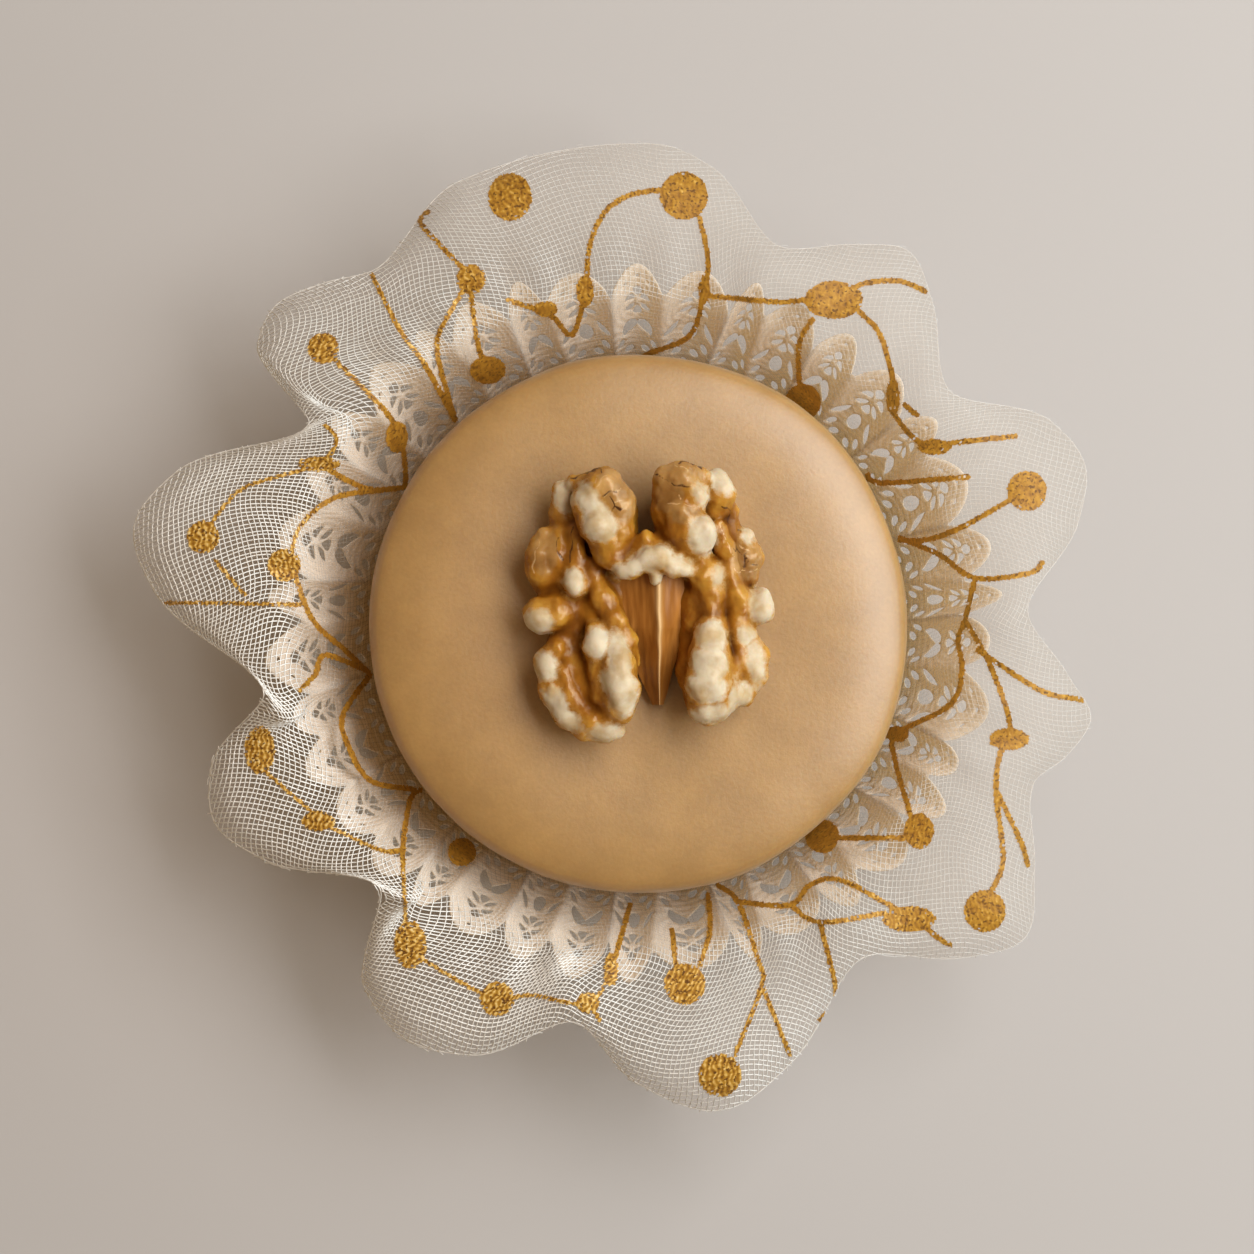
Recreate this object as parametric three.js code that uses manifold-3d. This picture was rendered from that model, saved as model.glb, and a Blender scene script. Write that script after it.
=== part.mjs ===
// An almond and walnut sweet in its two cases: a round covered cookie with a walnut half on top,
// in a sheer fabric cup with wavy petals, in a pleated paper lace case that stands on the table.
// Millimetres, +Z up. The origin is on the cookie's axis, at the underside of the paper case.
import * as THREE from "three";
import { mergeVertices } from "three/addons/utils/BufferGeometryUtils.js";
import Module from "manifold-3d";

// Gap that nested pieces keep to each other.
const GAP = 0.3;

// Paper lace case: a flat round bottom and a fluted wall that flares to a scalloped rim.
const PAPER = 0.3;
const CASE_BASE_RADIUS = 25.2;
const CASE_RIM_RADIUS = 34.3;
const CASE_HEIGHT = 16.5;
const CASE_FLARE_POWER = 1.3;
const CASE_OVAL = 0.3;
const CASE_LEAN = 0.4;
const CASE_LEAN_AT = 150;
const FLUTES = 38;
const FLUTE_DEPTH_BASE = 0.3;
const FLUTE_DEPTH_RIM = 1.0;
const SCALLOP = 0.3;
const SAMPLES_PER_FLUTE = 4;
const CASE_WALL_ROWS = 3;

// Sheer fabric cup: it lines the case, passes over its rim and spreads into ten petals.
const CLOTH = 0.3;
const CUP_COLUMNS = 120;
const CUP_BOTTOM_RADIUS = 23.6;
const CUP_WALL_ROWS = 3;
const CUP_WALL_TOP = 15.2;
const CUP_PETAL_ROWS = 4;
const RIM_CROSSING_INSET = 2.0;
const RIM_CROSSING_HEIGHT = 17.7;
const FOLD_DEPTH = 1.1;
const EDGE_LOW = 15.6;
const EDGE_HIGH = 23.6;
const RIDGE_POWER = 3.2;
const PETAL_ARCH = 1.8;
const TIP_ROLL = 3.0;
// The petals' edge in plan, anticlockwise from +X. Each row is one petal: the notch before it, a
// shoulder, its tip and a shoulder on the way down, each as degrees and radius.
const PETALS = [
  [2, 38.6, 13, 45.0, 20, 47.3, 26, 45.9],
  [37, 38.5, 48, 43.6, 54, 45.9, 60, 43.6],
  [69.5, 40.0, 81, 46.2, 88, 47.9, 112, 47.6],
  [126, 43.9, 133, 46.3, 139, 48.1, 144, 46.9],
  [149, 38.1, 162, 48.6, 169, 51.2, 176, 48.4],
  [190, 37.6, 198, 44.5, 205, 46.6, 212, 44.1],
  [225, 36.4, 233, 45.3, 241, 47.4, 249, 46.0],
  [261, 40.0, 270, 45.8, 280, 49.2, 289, 46.4],
  [303.5, 39.9, 315, 46.9, 321, 49.7, 328, 46.6],
  [338, 42.4, 343, 44.7, 348, 46.1, 353, 43.2],
];
const NOTCH_RADIUS = 36.4;
const TIP_RADIUS = 51.2;
// Sideways lean of the ridge that runs to each notch, halfway out, and its width in degrees.
const NOTCH_LEANS = [-1.5, 1.5, 1.0, -2.0, -4.0, 4.0, 3.6, -2.0, 1.8, -1.5];
const RIDGE_WIDTH = 9;

// Cookie: a thick disc with a low dome on top, a tight round shoulder and a broader round below.
// The powers are a superellipse's, across and up.
const COOKIE_RADIUS = 27.0;
const COOKIE_BOTTOM = PAPER + GAP + CLOTH + GAP;
const COOKIE_WAIST = 10.2;
const COOKIE_TOP = 21.2;
const SHOULDER = [150, 3.2];
const UNDERSIDE = [4.0, 2.2];
const DOME_DROP = 2.0;
const DOME_FROM = 10.0;
const DOME_POWER = 5;
const OUTLINE_STEPS = 2000;
const COOKIE_SIDES = 54;
const STEPS_ABOVE = 10;
const STEPS_BELOW = 5;

// Walnut half, inner face up. Each lobe is a chain of balls: x, y, height above the cookie's top
// and radius. Two thick ears point to +Y, a woody ridge runs down the middle.
const WALNUT_LOBES = {
  left_ear: [[-3.2, 12.7, 6.6, 2.9], [-4.0, 10.2, 6.9, 2.6], [-3.0, 7.9, 6.5, 2.3], [-1.5, 6.3, 5.6, 1.7]],
  left_ear_flank: [[-7.4, 11.8, 3.6, 1.7], [-5.6, 10.0, 4.2, 2.0]],
  right_ear: [[4.3, 13.2, 6.2, 2.8], [5.2, 11.0, 6.7, 2.7], [6.1, 8.8, 6.6, 2.1], [5.6, 6.6, 5.4, 1.6]],
  right_ear_flank: [[8.0, 13.2, 4.8, 1.7], [8.8, 10.4, 4.2, 1.6]],
  bridge: [[-1.9, 6.0, 6.2, 1.2], [1.0, 6.3, 6.6, 1.5], [4.9, 6.3, 6.2, 1.3]],
  woody_ridge: [[1.9, 4.4, 3.4, 2.7], [2.0, -1.5, 3.2, 1.9], [2.1, -7.6, 2.8, 0.7]],
  left_outer: [[-9.2, 9.2, 3.6, 1.5], [-9.9, 6.6, 3.6, 1.6], [-9.4, 4.2, 3.2, 1.7]],
  left_bump: [[-9.2, 0.9, 4.4, 2.0], [-7.6, 1.2, 3.4, 1.8]],
  left_middle: [[-6.0, 3.9, 5.0, 1.5], [-5.4, 7.0, 4.2, 1.6]],
  left_amber_ridge: [[-3.9, 5.6, 5.0, 1.3], [-3.5, 2.0, 5.0, 1.3], [-2.2, -1.2, 4.6, 1.3]],
  left_pale_ridge: [[-4.0, -1.8, 5.2, 1.8], [-2.4, -4.8, 5.6, 1.9], [-1.9, -8.2, 4.8, 1.9]],
  left_lower: [[-9.0, -4.0, 3.8, 1.5], [-8.2, -7.6, 3.9, 1.6], [-6.2, -10.0, 3.9, 1.6], [-3.2, -10.5, 3.8, 1.4]],
  right_outer: [[10.0, 9.0, 3.6, 1.5], [10.8, 6.6, 3.8, 1.5], [10.6, 4.0, 3.6, 1.5]],
  right_bump: [[11.8, 2.4, 4.2, 1.5], [11.9, 0.6, 4.0, 1.5]],
  right_middle: [[7.2, 6.0, 5.6, 1.4], [7.6, 3.0, 5.2, 1.5], [7.4, 0.4, 4.8, 1.5]],
  right_amber_ridge: [[8.4, 9.6, 4.6, 1.2], [9.4, 5.0, 4.6, 1.3], [9.8, -1.6, 4.6, 1.3]],
  right_pale_ridge: [[7.2, -1.6, 5.4, 1.9], [6.8, -5.4, 5.8, 2.1], [7.4, -8.2, 4.8, 2.0]],
  right_lower: [[11.0, -1.6, 4.0, 1.5], [11.6, -4.4, 4.0, 1.5], [10.2, -7.6, 3.8, 1.4]],
  left_body: [[-6.2, 9.0, 2.6, 2.1], [-6.4, 3.0, 2.6, 2.3], [-6.0, -4.0, 2.6, 2.3], [-5.0, -8.0, 2.6, 2.0]],
  left_floor: [[-2.4, 6.0, 2.5, 2.2], [-3.0, 0.0, 2.4, 2.1], [-3.6, -6.0, 2.5, 2.1]],
  right_body: [[7.2, 10.0, 2.6, 2.1], [8.8, 5.0, 2.6, 2.3], [9.0, -2.0, 2.6, 2.3], [8.4, -6.6, 2.6, 2.1]],
  right_floor: [[5.2, 8.0, 2.6, 2.2], [5.4, 2.0, 2.5, 2.2], [6.0, -4.0, 2.6, 2.0]],
  middle_floor: [[-2.0, 3.0, 2.2, 1.9], [1.8, 3.6, 2.2, 1.9], [6.0, 3.0, 2.2, 1.9]],
};
const LOBE_SIDES = 8;
const LOBE_STEPS = 2;

const DEGREE = Math.PI / 180;

function material(color, roughness, more = {}) {
  return new THREE.MeshStandardMaterial({ color, roughness, metalness: 0, ...more });
}

function named(name, geometry, look) {
  const mesh = new THREE.Mesh(geometry, look);
  mesh.name = name;
  return mesh;
}

function indexedGeometry(positions, indices) {
  const geometry = new THREE.BufferGeometry();
  geometry.setAttribute("position", new THREE.Float32BufferAttribute(positions, 3));
  geometry.setIndex(indices);
  geometry.computeVertexNormals();
  return geometry;
}

// Closed thin cup. surface(angle, row) is its middle surface: row 0 is the centre of the bottom
// and the last row the free edge. Each side lies half a thickness along the surface's normal.
function thinCup(columns, rows, thickness, surface) {
  const at = (c, r) => surface(((c % columns) / columns) * 2 * Math.PI, r);
  const positions = [];
  const place = (point, normal, side) =>
    positions.push(...point.clone().addScaledVector(normal, (side * thickness) / 2).toArray());
  const down = new THREE.Vector3(0, 0, -1);
  for (const side of [1, -1]) {
    place(at(0, 0), down, side);
    for (let r = 1; r <= rows; r++) {
      for (let c = 0; c < columns; c++) {
        const along = at(c + 1, r).sub(at(c + columns - 1, r));
        const outward = at(c, Math.min(r + 1, rows)).sub(at(c, r - 1));
        place(at(c, r), along.cross(outward).normalize(), side);
      }
    }
  }
  const sideSize = 1 + rows * columns;
  const outer = (c, r) => (r === 0 ? 0 : 1 + (r - 1) * columns + (c % columns));
  const inner = (c, r) => sideSize + outer(c, r);
  const indices = [];
  for (let c = 0; c < columns; c++) {
    indices.push(outer(c, 0), outer(c + 1, 1), outer(c, 1));
    indices.push(inner(c, 0), inner(c, 1), inner(c + 1, 1));
    for (let r = 1; r < rows; r++) {
      indices.push(outer(c, r), outer(c + 1, r), outer(c + 1, r + 1));
      indices.push(outer(c, r), outer(c + 1, r + 1), outer(c, r + 1));
      indices.push(inner(c, r), inner(c + 1, r + 1), inner(c + 1, r));
      indices.push(inner(c, r), inner(c, r + 1), inner(c + 1, r + 1));
    }
    indices.push(outer(c, rows), outer(c + 1, rows), inner(c + 1, rows));
    indices.push(outer(c, rows), inner(c + 1, rows), inner(c, rows));
  }
  return indexedGeometry(positions, indices);
}

function cylindrical(radius, angle, height) {
  return new THREE.Vector3(radius * Math.cos(angle), radius * Math.sin(angle), height);
}

// Mean radius of the paper wall at a height: it flares, and its rim is a little oval.
function caseRadius(angle, height) {
  const rim =
    CASE_RIM_RADIUS +
    CASE_OVAL * Math.cos(2 * angle) +
    CASE_LEAN * Math.cos(angle - CASE_LEAN_AT * DEGREE);
  const share = Math.max(height, 0) / CASE_HEIGHT;
  return CASE_BASE_RADIUS + (rim - CASE_BASE_RADIUS) * share ** CASE_FLARE_POWER;
}

function fluteDepth(height) {
  return FLUTE_DEPTH_BASE + (FLUTE_DEPTH_RIM - FLUTE_DEPTH_BASE) * (height / CASE_HEIGHT);
}

function laceCase() {
  const columns = FLUTES * SAMPLES_PER_FLUTE;
  return thinCup(columns, 1 + CASE_WALL_ROWS, PAPER, (angle, row) => {
    if (row === 0) return new THREE.Vector3(0, 0, PAPER / 2);
    const wave = Math.cos(FLUTES * angle);
    const share = (row - 1) / CASE_WALL_ROWS;
    const height = PAPER / 2 + share * (CASE_HEIGHT - PAPER / 2 + SCALLOP * wave);
    return cylindrical(caseRadius(angle, height) + wave * fluteDepth(height), angle, height);
  });
}

// Radius of the petals' edge: a smooth curve through the petals' points, level at each tip and
// each notch.
function petalEdge() {
  const knots = PETALS.flatMap((row) => [0, 2, 4, 6].map((i) => [row[i], row[i + 1]]));
  const last = knots.length;
  const knot = (i) => [
    knots[(i + last) % last][0] + 360 * Math.floor(i / last),
    knots[(i + last) % last][1],
  ];
  const rise = (i) => (knot(i + 1)[1] - knot(i)[1]) / (knot(i + 1)[0] - knot(i)[0]);
  const slope = (i) => {
    const [before, after] = [rise(i - 1), rise(i)];
    return before * after <= 0 ? 0 : (2 * before * after) / (before + after);
  };
  return (angle) => {
    let degrees = angle / DEGREE;
    if (degrees < knots[0][0]) degrees += 360;
    let i = 0;
    while (knot(i + 1)[0] < degrees) i++;
    const span = knot(i + 1)[0] - knot(i)[0];
    const t = (degrees - knot(i)[0]) / span;
    const stay = (1 + 2 * t) * (1 - t) ** 2;
    return (
      stay * knot(i)[1] +
      (1 - stay) * knot(i + 1)[1] +
      span * (t * (1 - t) ** 2 * slope(i) - t ** 2 * (1 - t) * slope(i + 1))
    );
  };
}

// Sideways lean at an angle: each notch's own, faded out by a bell round it.
function ridgeLean(degrees) {
  return PETALS.reduce((total, [notchAt], i) => {
    const away = ((((degrees - notchAt + 180) % 360) + 360) % 360) - 180;
    return total + NOTCH_LEANS[i] * Math.exp(-((away / RIDGE_WIDTH) ** 2));
  }, 0);
}

// The fabric cup's middle surface by rows: flat bottom, wall inside the paper, then the petals.
// A ridge rises to each notch, and the tips spread low and roll down at their edge.
function organzaCup() {
  const edge = petalEdge();
  const bottomHeight = PAPER + GAP + CLOTH / 2;
  const wallRow = (angle, height, notch) => {
    const clear = fluteDepth(height) + (PAPER + CLOTH) / 2 + GAP;
    const fold = FOLD_DEPTH * notch * (height / CUP_WALL_TOP) ** 2;
    return cylindrical(caseRadius(angle, height) - clear - fold, angle, height);
  };
  return thinCup(CUP_COLUMNS, 1 + CUP_WALL_ROWS + 1 + CUP_PETAL_ROWS, CLOTH, (angle, row) => {
    if (row === 0) return new THREE.Vector3(0, 0, bottomHeight);
    if (row === 1) return cylindrical(CUP_BOTTOM_RADIUS, angle, bottomHeight);
    const edgeRadius = edge(angle);
    const notch = (TIP_RADIUS - edgeRadius) / (TIP_RADIUS - NOTCH_RADIUS);
    const wall = (row - 1) / CUP_WALL_ROWS;
    if (wall <= 1) {
      return wallRow(angle, bottomHeight + wall * (CUP_WALL_TOP - bottomHeight), notch);
    }
    const across = (row - 2 - CUP_WALL_ROWS) / CUP_PETAL_ROWS;
    const midway = 4 * across * (1 - across);
    const crossing = caseRadius(angle, CASE_HEIGHT) - RIM_CROSSING_INSET;
    const ridge = notch ** RIDGE_POWER;
    const tipDrop = across === 1 ? TIP_ROLL * (1 - notch) : 0;
    const edgeHeight = EDGE_LOW + (EDGE_HIGH - EDGE_LOW) * ridge - tipDrop;
    const flat = cylindrical(
      crossing + (edgeRadius - crossing) * across,
      angle,
      RIM_CROSSING_HEIGHT + (edgeHeight - RIM_CROSSING_HEIGHT) * across + PETAL_ARCH * midway,
    );
    const lean = ridgeLean(angle / DEGREE) * ridge * midway;
    return flat.add(new THREE.Vector3(-Math.sin(angle), Math.cos(angle), 0).multiplyScalar(lean));
  });
}

// A quarter of the outline as a superellipse, from the waist to the axis, in fine steps.
function quarterOutline(height, powers) {
  return Array.from({ length: OUTLINE_STEPS + 1 }, (_, i) => {
    const out = 1 - i / OUTLINE_STEPS;
    return new THREE.Vector2(COOKIE_RADIUS * out, height * (1 - out ** powers[0]) ** (1 / powers[1]));
  });
}

// A few of an outline's points, with both ends: half of the spacing goes by length and half by
// how far the outline turns, so that points crowd where it is round.
function spaced(outline, steps) {
  const gone = [[0, 0]];
  for (let i = 1; i < outline.length; i++) {
    const run = outline[i].clone().sub(outline[i - 1]);
    const before = i > 1 ? outline[i - 1].clone().sub(outline[i - 2]) : run;
    const turned = Math.abs(Math.atan2(before.cross(run), before.dot(run)));
    gone.push([gone[i - 1][0] + run.length(), gone[i - 1][1] + turned]);
  }
  const [wholeLength, wholeTurn] = gone[gone.length - 1];
  const share = gone.map(([length, turn]) => length / wholeLength / 2 + turn / wholeTurn / 2);
  return Array.from({ length: steps + 1 }, (_, k) => {
    const at = share.findIndex((value) => value >= k / steps - 1e-9);
    return outline[at < 0 ? outline.length - 1 : at];
  });
}

// The cookie's outline from the bottom's middle to the top's: a superellipse quarter on each side
// of the waist. The upper one is lowered towards the rim, which makes the top a low dome.
function cookieProfile() {
  const above = quarterOutline(COOKIE_TOP - COOKIE_WAIST, SHOULDER).map(({ x, y }) => {
    const out = Math.max(x - DOME_FROM, 0) / (COOKIE_RADIUS - DOME_FROM);
    return new THREE.Vector2(x, y * (1 - (DOME_DROP / (COOKIE_TOP - COOKIE_WAIST)) * out ** DOME_POWER));
  });
  const below = quarterOutline(COOKIE_BOTTOM - COOKIE_WAIST, UNDERSIDE);
  const profile = [...spaced(below, STEPS_BELOW).reverse().slice(0, -1), ...spaced(above, STEPS_ABOVE)];
  profile[0].x = 0;
  profile[profile.length - 1].x = 0;
  return profile.map(({ x, y }) => new THREE.Vector2(x, y + COOKIE_WAIST));
}

function cookie() {
  const geometry = new THREE.LatheGeometry(cookieProfile(), COOKIE_SIDES);
  return geometry.rotateX(Math.PI / 2);
}

// Two balls joined by the cone that touches both.
function linkGeometry(from, to) {
  const [a, b] = [from, to].map((p) => new THREE.Vector3(p[0], p[1], p[2]));
  const span = a.distanceTo(b);
  const tilt = Math.asin((from[3] - to[3]) / span);
  const profile = [];
  for (let i = 0; i <= LOBE_STEPS; i++) {
    const turn = -Math.PI / 2 + (i / LOBE_STEPS) * (tilt + Math.PI / 2);
    profile.push(new THREE.Vector2(from[3] * Math.cos(turn), from[3] * Math.sin(turn)));
  }
  for (let i = 0; i <= LOBE_STEPS; i++) {
    const turn = tilt + (i / LOBE_STEPS) * (Math.PI / 2 - tilt);
    profile.push(new THREE.Vector2(to[3] * Math.cos(turn), span + to[3] * Math.sin(turn)));
  }
  profile[0].x = 0;
  profile[profile.length - 1].x = 0;
  const link = new THREE.LatheGeometry(profile, LOBE_SIDES);
  const turned = new THREE.Quaternion().setFromUnitVectors(
    new THREE.Vector3(0, 1, 0),
    b.clone().sub(a).normalize(),
  );
  return link.applyQuaternion(turned).translate(a.x, a.y, a.z);
}

function solidOf(wasm, geometry) {
  geometry.deleteAttribute("normal");
  geometry.deleteAttribute("uv");
  const merged = mergeVertices(geometry, 1e-4);
  return new wasm.Manifold(
    new wasm.Mesh({
      numProp: 3,
      vertProperties: new Float32Array(merged.attributes.position.array),
      triVerts: new Uint32Array(merged.index.array),
    }),
  );
}

async function walnut() {
  const wasm = await Module();
  wasm.setup();
  let whole = null;
  for (const lobe of Object.values(WALNUT_LOBES)) {
    for (let i = 1; i < lobe.length; i++) {
      const link = solidOf(wasm, linkGeometry(lobe[i - 1], lobe[i]));
      whole = whole ? whole.add(link) : link;
    }
  }
  // Hollows that the joined lobes seal are filled by keeping the outer skin alone.
  const skin = whole.decompose().reduce((best, body) => (body.volume() > best.volume() ? body : best));
  const { vertProperties, triVerts } = skin.getMesh();
  const geometry = indexedGeometry(Array.from(vertProperties), Array.from(triVerts));
  return geometry.translate(0, 0, COOKIE_TOP + GAP);
}

const group = new THREE.Group();
group.add(
  named("lace_case", laceCase(), material(0xe9dfd2, 0.85)),
  named("organza_cup", organzaCup(), material(0xe6dccd, 0.7, { transparent: true, opacity: 0.5 })),
  named("cookie", cookie(), material(0xc49a66, 0.55)),
  named("walnut_half", await walnut(), material(0xb9813f, 0.45)),
);

export default group;
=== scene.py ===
import math
import bpy
import numpy as np
from mathutils.geometry import delaunay_2d_cdt
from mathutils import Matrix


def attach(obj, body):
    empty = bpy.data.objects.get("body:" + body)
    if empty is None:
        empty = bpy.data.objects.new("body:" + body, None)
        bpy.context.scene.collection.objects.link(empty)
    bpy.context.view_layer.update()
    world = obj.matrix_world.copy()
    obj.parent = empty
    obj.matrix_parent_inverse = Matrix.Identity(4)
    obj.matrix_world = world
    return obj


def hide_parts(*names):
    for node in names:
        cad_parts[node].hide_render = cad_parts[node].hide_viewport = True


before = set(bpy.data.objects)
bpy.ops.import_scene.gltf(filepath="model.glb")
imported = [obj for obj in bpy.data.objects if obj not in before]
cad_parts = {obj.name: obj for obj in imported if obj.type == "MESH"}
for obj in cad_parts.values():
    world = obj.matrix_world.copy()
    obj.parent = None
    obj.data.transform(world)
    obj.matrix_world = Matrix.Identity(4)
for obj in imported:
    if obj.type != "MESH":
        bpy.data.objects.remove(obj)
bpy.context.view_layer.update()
MM = 0.001


# Camera. It looks straight down from well above, square to the table, with the cookie a little
# right of the frame's middle. PHOTO_SIDE is the frame's side in pixels, 10 to a millimetre at the
# cookie's widest level, and SIGHT is the pixel of the cookie's axis.
PHOTO_SIDE = 1254
PIXELS_PER_MM = 10.0
SIGHT = (638.0, 624.0)
COOKIE_WAIST = 10.2
CAMERA_HEIGHT = 900.0
SENSOR = 36.0

lens = bpy.data.cameras.new("camera")
camera = bpy.data.objects.new("camera", lens)
bpy.context.scene.collection.objects.link(camera)
bpy.context.scene.camera = camera
view_middle = np.array([PHOTO_SIDE / 2 - SIGHT[0], SIGHT[1] - PHOTO_SIDE / 2]) / PIXELS_PER_MM
camera.location = (view_middle[0] * MM, view_middle[1] * MM, (COOKIE_WAIST + CAMERA_HEIGHT) * MM)
camera.rotation_euler = (0.0, 0.0, 0.0)
lens.sensor_fit = "HORIZONTAL"
lens.sensor_width = SENSOR
lens.lens = SENSOR * CAMERA_HEIGHT / (PHOTO_SIDE / PIXELS_PER_MM)
lens.clip_start = 0.01
lens.clip_end = 10.0


def as_seen(points):
    """Where points show in the photograph's plan, in mm from the cookie's axis at its widest level.

    A point's offset from the line of sight grows by height over the distance left to the lens."""
    near = CAMERA_HEIGHT / (CAMERA_HEIGHT + COOKIE_WAIST - points[..., 2])
    return view_middle + (points[..., :2] - view_middle) * near[..., None]


# Paper case. A die-cut paper lace cup, pressed into thirty-eight flutes whose scalloped rim rolls
# outwards. Each flute is pierced with a flower, drops, ovals and eyelets, and embossed round them.
# It stands on the table, and everything else sits in it.
PAPER = 0.12
CASE_BASE_RADIUS = 25.2
CASE_RIM_RADIUS = 33.8
CASE_HEIGHT = 16.5
CASE_FLARE_POWER = 1.3
CASE_OVAL = 0.3
CASE_LEAN = 0.4
CASE_LEAN_AT = math.radians(150)
FLUTES = 38
FLUTE_DEPTH_BASE = 0.3
FLUTE_DEPTH_RIM = 1.0
SCALLOP = 0.3
CASE_SLOPE = 19.2
SCALLOP_CUT, SCALLOP_FROM = 1.1, 13.0
ROLL_OUT, ROLL_DROP, ROLL_FROM = 0.55, 0.6, 15.0
LOBE_PUFF = 0.2
STEP_OUT, STEP_ON = 0.9, 0.30
NICK_LEAST, NICK_MOST, SHORTEST = 0.4, 1.5, 1.1
LOBE_SEED = 7
REPEAT_FLUTES = 2
REPEAT_WIDTH = 10.6
PAPER_GRID, HOLE_MARGIN, WELD = 0.42, 0.14, 0.002
FLOWER_UP, FLOWER_WIDE, FLOWER_TALL = 14.4, 0.82, 1.45
FLOWER_DROP, FLOWER_STRETCH, FLOWER_DROP_WIDTH = 0.95, 0.55, 1.0
PIN_UP, PIN_FALL, PIN_STEP, PIN_RADIUS = 17.9, 0.3, 1.25, 0.2
# Below the flower, from a flute's middle: each flute's pair of drops as across, up, length, width
# and lean in radians, and its ovals as across, up, half width, height over width and corners.
FLUTE_DROPS = [(1.70, 11.3, 2.1, 1.15, 0.5), (0.95, 10.3, 2.6, 1.75, -2.75)]
FLUTE_OVALS = [[(0.0, 9.9, 0.72, 2.0, 12), (1.80, 8.3, 0.45, 1.8, 9)], [(1.85, 8.0, 0.42, 1.8, 9)]]
SHARED_OVALS = [(0.95, 6.3, 0.55, 1.3, 9), (2.03, 4.7, 0.42, 1.0, 10), (0.0, 4.3, 0.45, 1.0, 10)]
EMBOSS_WAVE = 2 * math.pi / 0.55


def material(name):
    """An empty node material and its tree."""
    made = bpy.data.materials.new(name)
    made.use_nodes = True
    made.node_tree.nodes.clear()
    return made, made.node_tree


def node(tree, kind, inputs=None, **settings):
    """A node with its settings, and its inputs as values or as the sockets that feed them."""
    made = tree.nodes.new(kind)
    for key, value in settings.items():
        setattr(made, key, value)
    for key, value in (inputs or {}).items():
        if isinstance(value, bpy.types.NodeSocket):
            tree.links.new(value, made.inputs[key])
        else:
            made.inputs[key].default_value = value
    return made


def principled(tree, values):
    """A Principled shader from its values, or the sockets that feed them."""
    return node(tree, "ShaderNodeBsdfPrincipled", values).outputs[0]


def mixed(tree, share, first, second):
    """A mix of two shaders, all of it the second at a share of 1."""
    return node(tree, "ShaderNodeMixShader", {0: share, 1: first, 2: second}).outputs[0]


def surface(tree, shader):
    """The end of a material: a shader as its surface."""
    node(tree, "ShaderNodeOutputMaterial", {"Surface": shader})


def on_object(tree):
    """The place on the object, in metres."""
    return node(tree, "ShaderNodeTexCoord").outputs["Object"]


def attribute(tree, name):
    """The value that a mesh holds at each point under a name."""
    return node(tree, "ShaderNodeAttribute", attribute_name=name).outputs["Fac"]


def worked(tree, operation, *values):
    """The outcome of a sum on one to three values or sockets."""
    return node(tree, "ShaderNodeMath", dict(enumerate(values)), operation=operation).outputs[0]


def mapped(tree, value, low, high, to_low=0.0, to_high=1.0):
    """A value that goes from low to high, clamped there and turned into another range."""
    ends = {"Value": value, "From Min": low, "From Max": high, "To Min": to_low, "To Max": to_high}
    return node(tree, "ShaderNodeMapRange", ends).outputs["Result"]


def bump(tree, height, strength, distance, **more):
    """The normal of the relief that a value gives."""
    values = {"Height": height, "Strength": strength, "Distance": distance, **more}
    return node(tree, "ShaderNodeBump", values).outputs["Normal"]


def ramp(tree, factor, stops):
    """A colour ramp through stops of position and linear colour."""
    made = node(tree, "ShaderNodeValToRGB", {"Fac": factor})
    for i, (place, colour) in enumerate(stops):
        if i < 2:
            stop = made.color_ramp.elements[i]
            stop.position = place
        else:
            stop = made.color_ramp.elements.new(place)
        stop.color = (*colour, 1.0)
    return made.outputs["Color"]


def grain_group():
    """The grain that every finish here has, as a node group.

    It puts out fine noise as a value, and the normal of the relief that this noise makes."""
    group = bpy.data.node_groups.new("grain", "ShaderNodeTree")
    group.interface.new_socket("Vector", in_out="INPUT", socket_type="NodeSocketVector")
    for name in ("Scale", "Detail", "Roughness", "Strength", "Distance"):
        group.interface.new_socket(name, in_out="INPUT", socket_type="NodeSocketFloat")
    group.interface.new_socket("Value", in_out="OUTPUT", socket_type="NodeSocketFloat")
    group.interface.new_socket("Normal", in_out="OUTPUT", socket_type="NodeSocketVector")
    given = group.nodes.new("NodeGroupInput").outputs
    noise_inputs = {key: given[key] for key in ("Vector", "Scale", "Detail", "Roughness")}
    noise = node(group, "ShaderNodeTexNoise", noise_inputs).outputs["Fac"]
    relief = bump(group, noise, given["Strength"], given["Distance"])
    node(group, "NodeGroupOutput", {"Value": noise, "Normal": relief})
    return group


GRAIN = grain_group()


def grain(tree, place, scale, detail, roughness=0.5, strength=0.0, distance=0.0):
    """The value and the relief's normal of the grain, at a scale per metre."""
    values = {
        "Vector": place, "Scale": scale, "Detail": detail, "Roughness": roughness,
        "Strength": strength, "Distance": distance,
    }
    made = node(tree, "ShaderNodeGroup", values, node_tree=GRAIN)
    return made.outputs["Value"], made.outputs["Normal"]


def piece(name, points, faces, look, smooth=True):
    """A mesh object from points in mm and from faces as index rows, at the origin."""
    mesh = bpy.data.meshes.new(name)
    faces = np.asarray(faces, np.int32)
    count, corners = faces.shape
    mesh.vertices.add(len(points))
    mesh.vertices.foreach_set("co", (np.asarray(points, float) * MM).astype(np.float32).ravel())
    mesh.loops.add(count * corners)
    mesh.loops.foreach_set("vertex_index", faces.ravel())
    mesh.polygons.add(count)
    mesh.polygons.foreach_set("loop_start", np.arange(0, count * corners, corners, dtype=np.int32))
    mesh.polygons.foreach_set("use_smooth", np.full(count, smooth))
    mesh.update()
    mesh.validate()
    made = bpy.data.objects.new(name, mesh)
    bpy.context.scene.collection.objects.link(made)
    mesh.materials.append(look)
    return made


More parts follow.
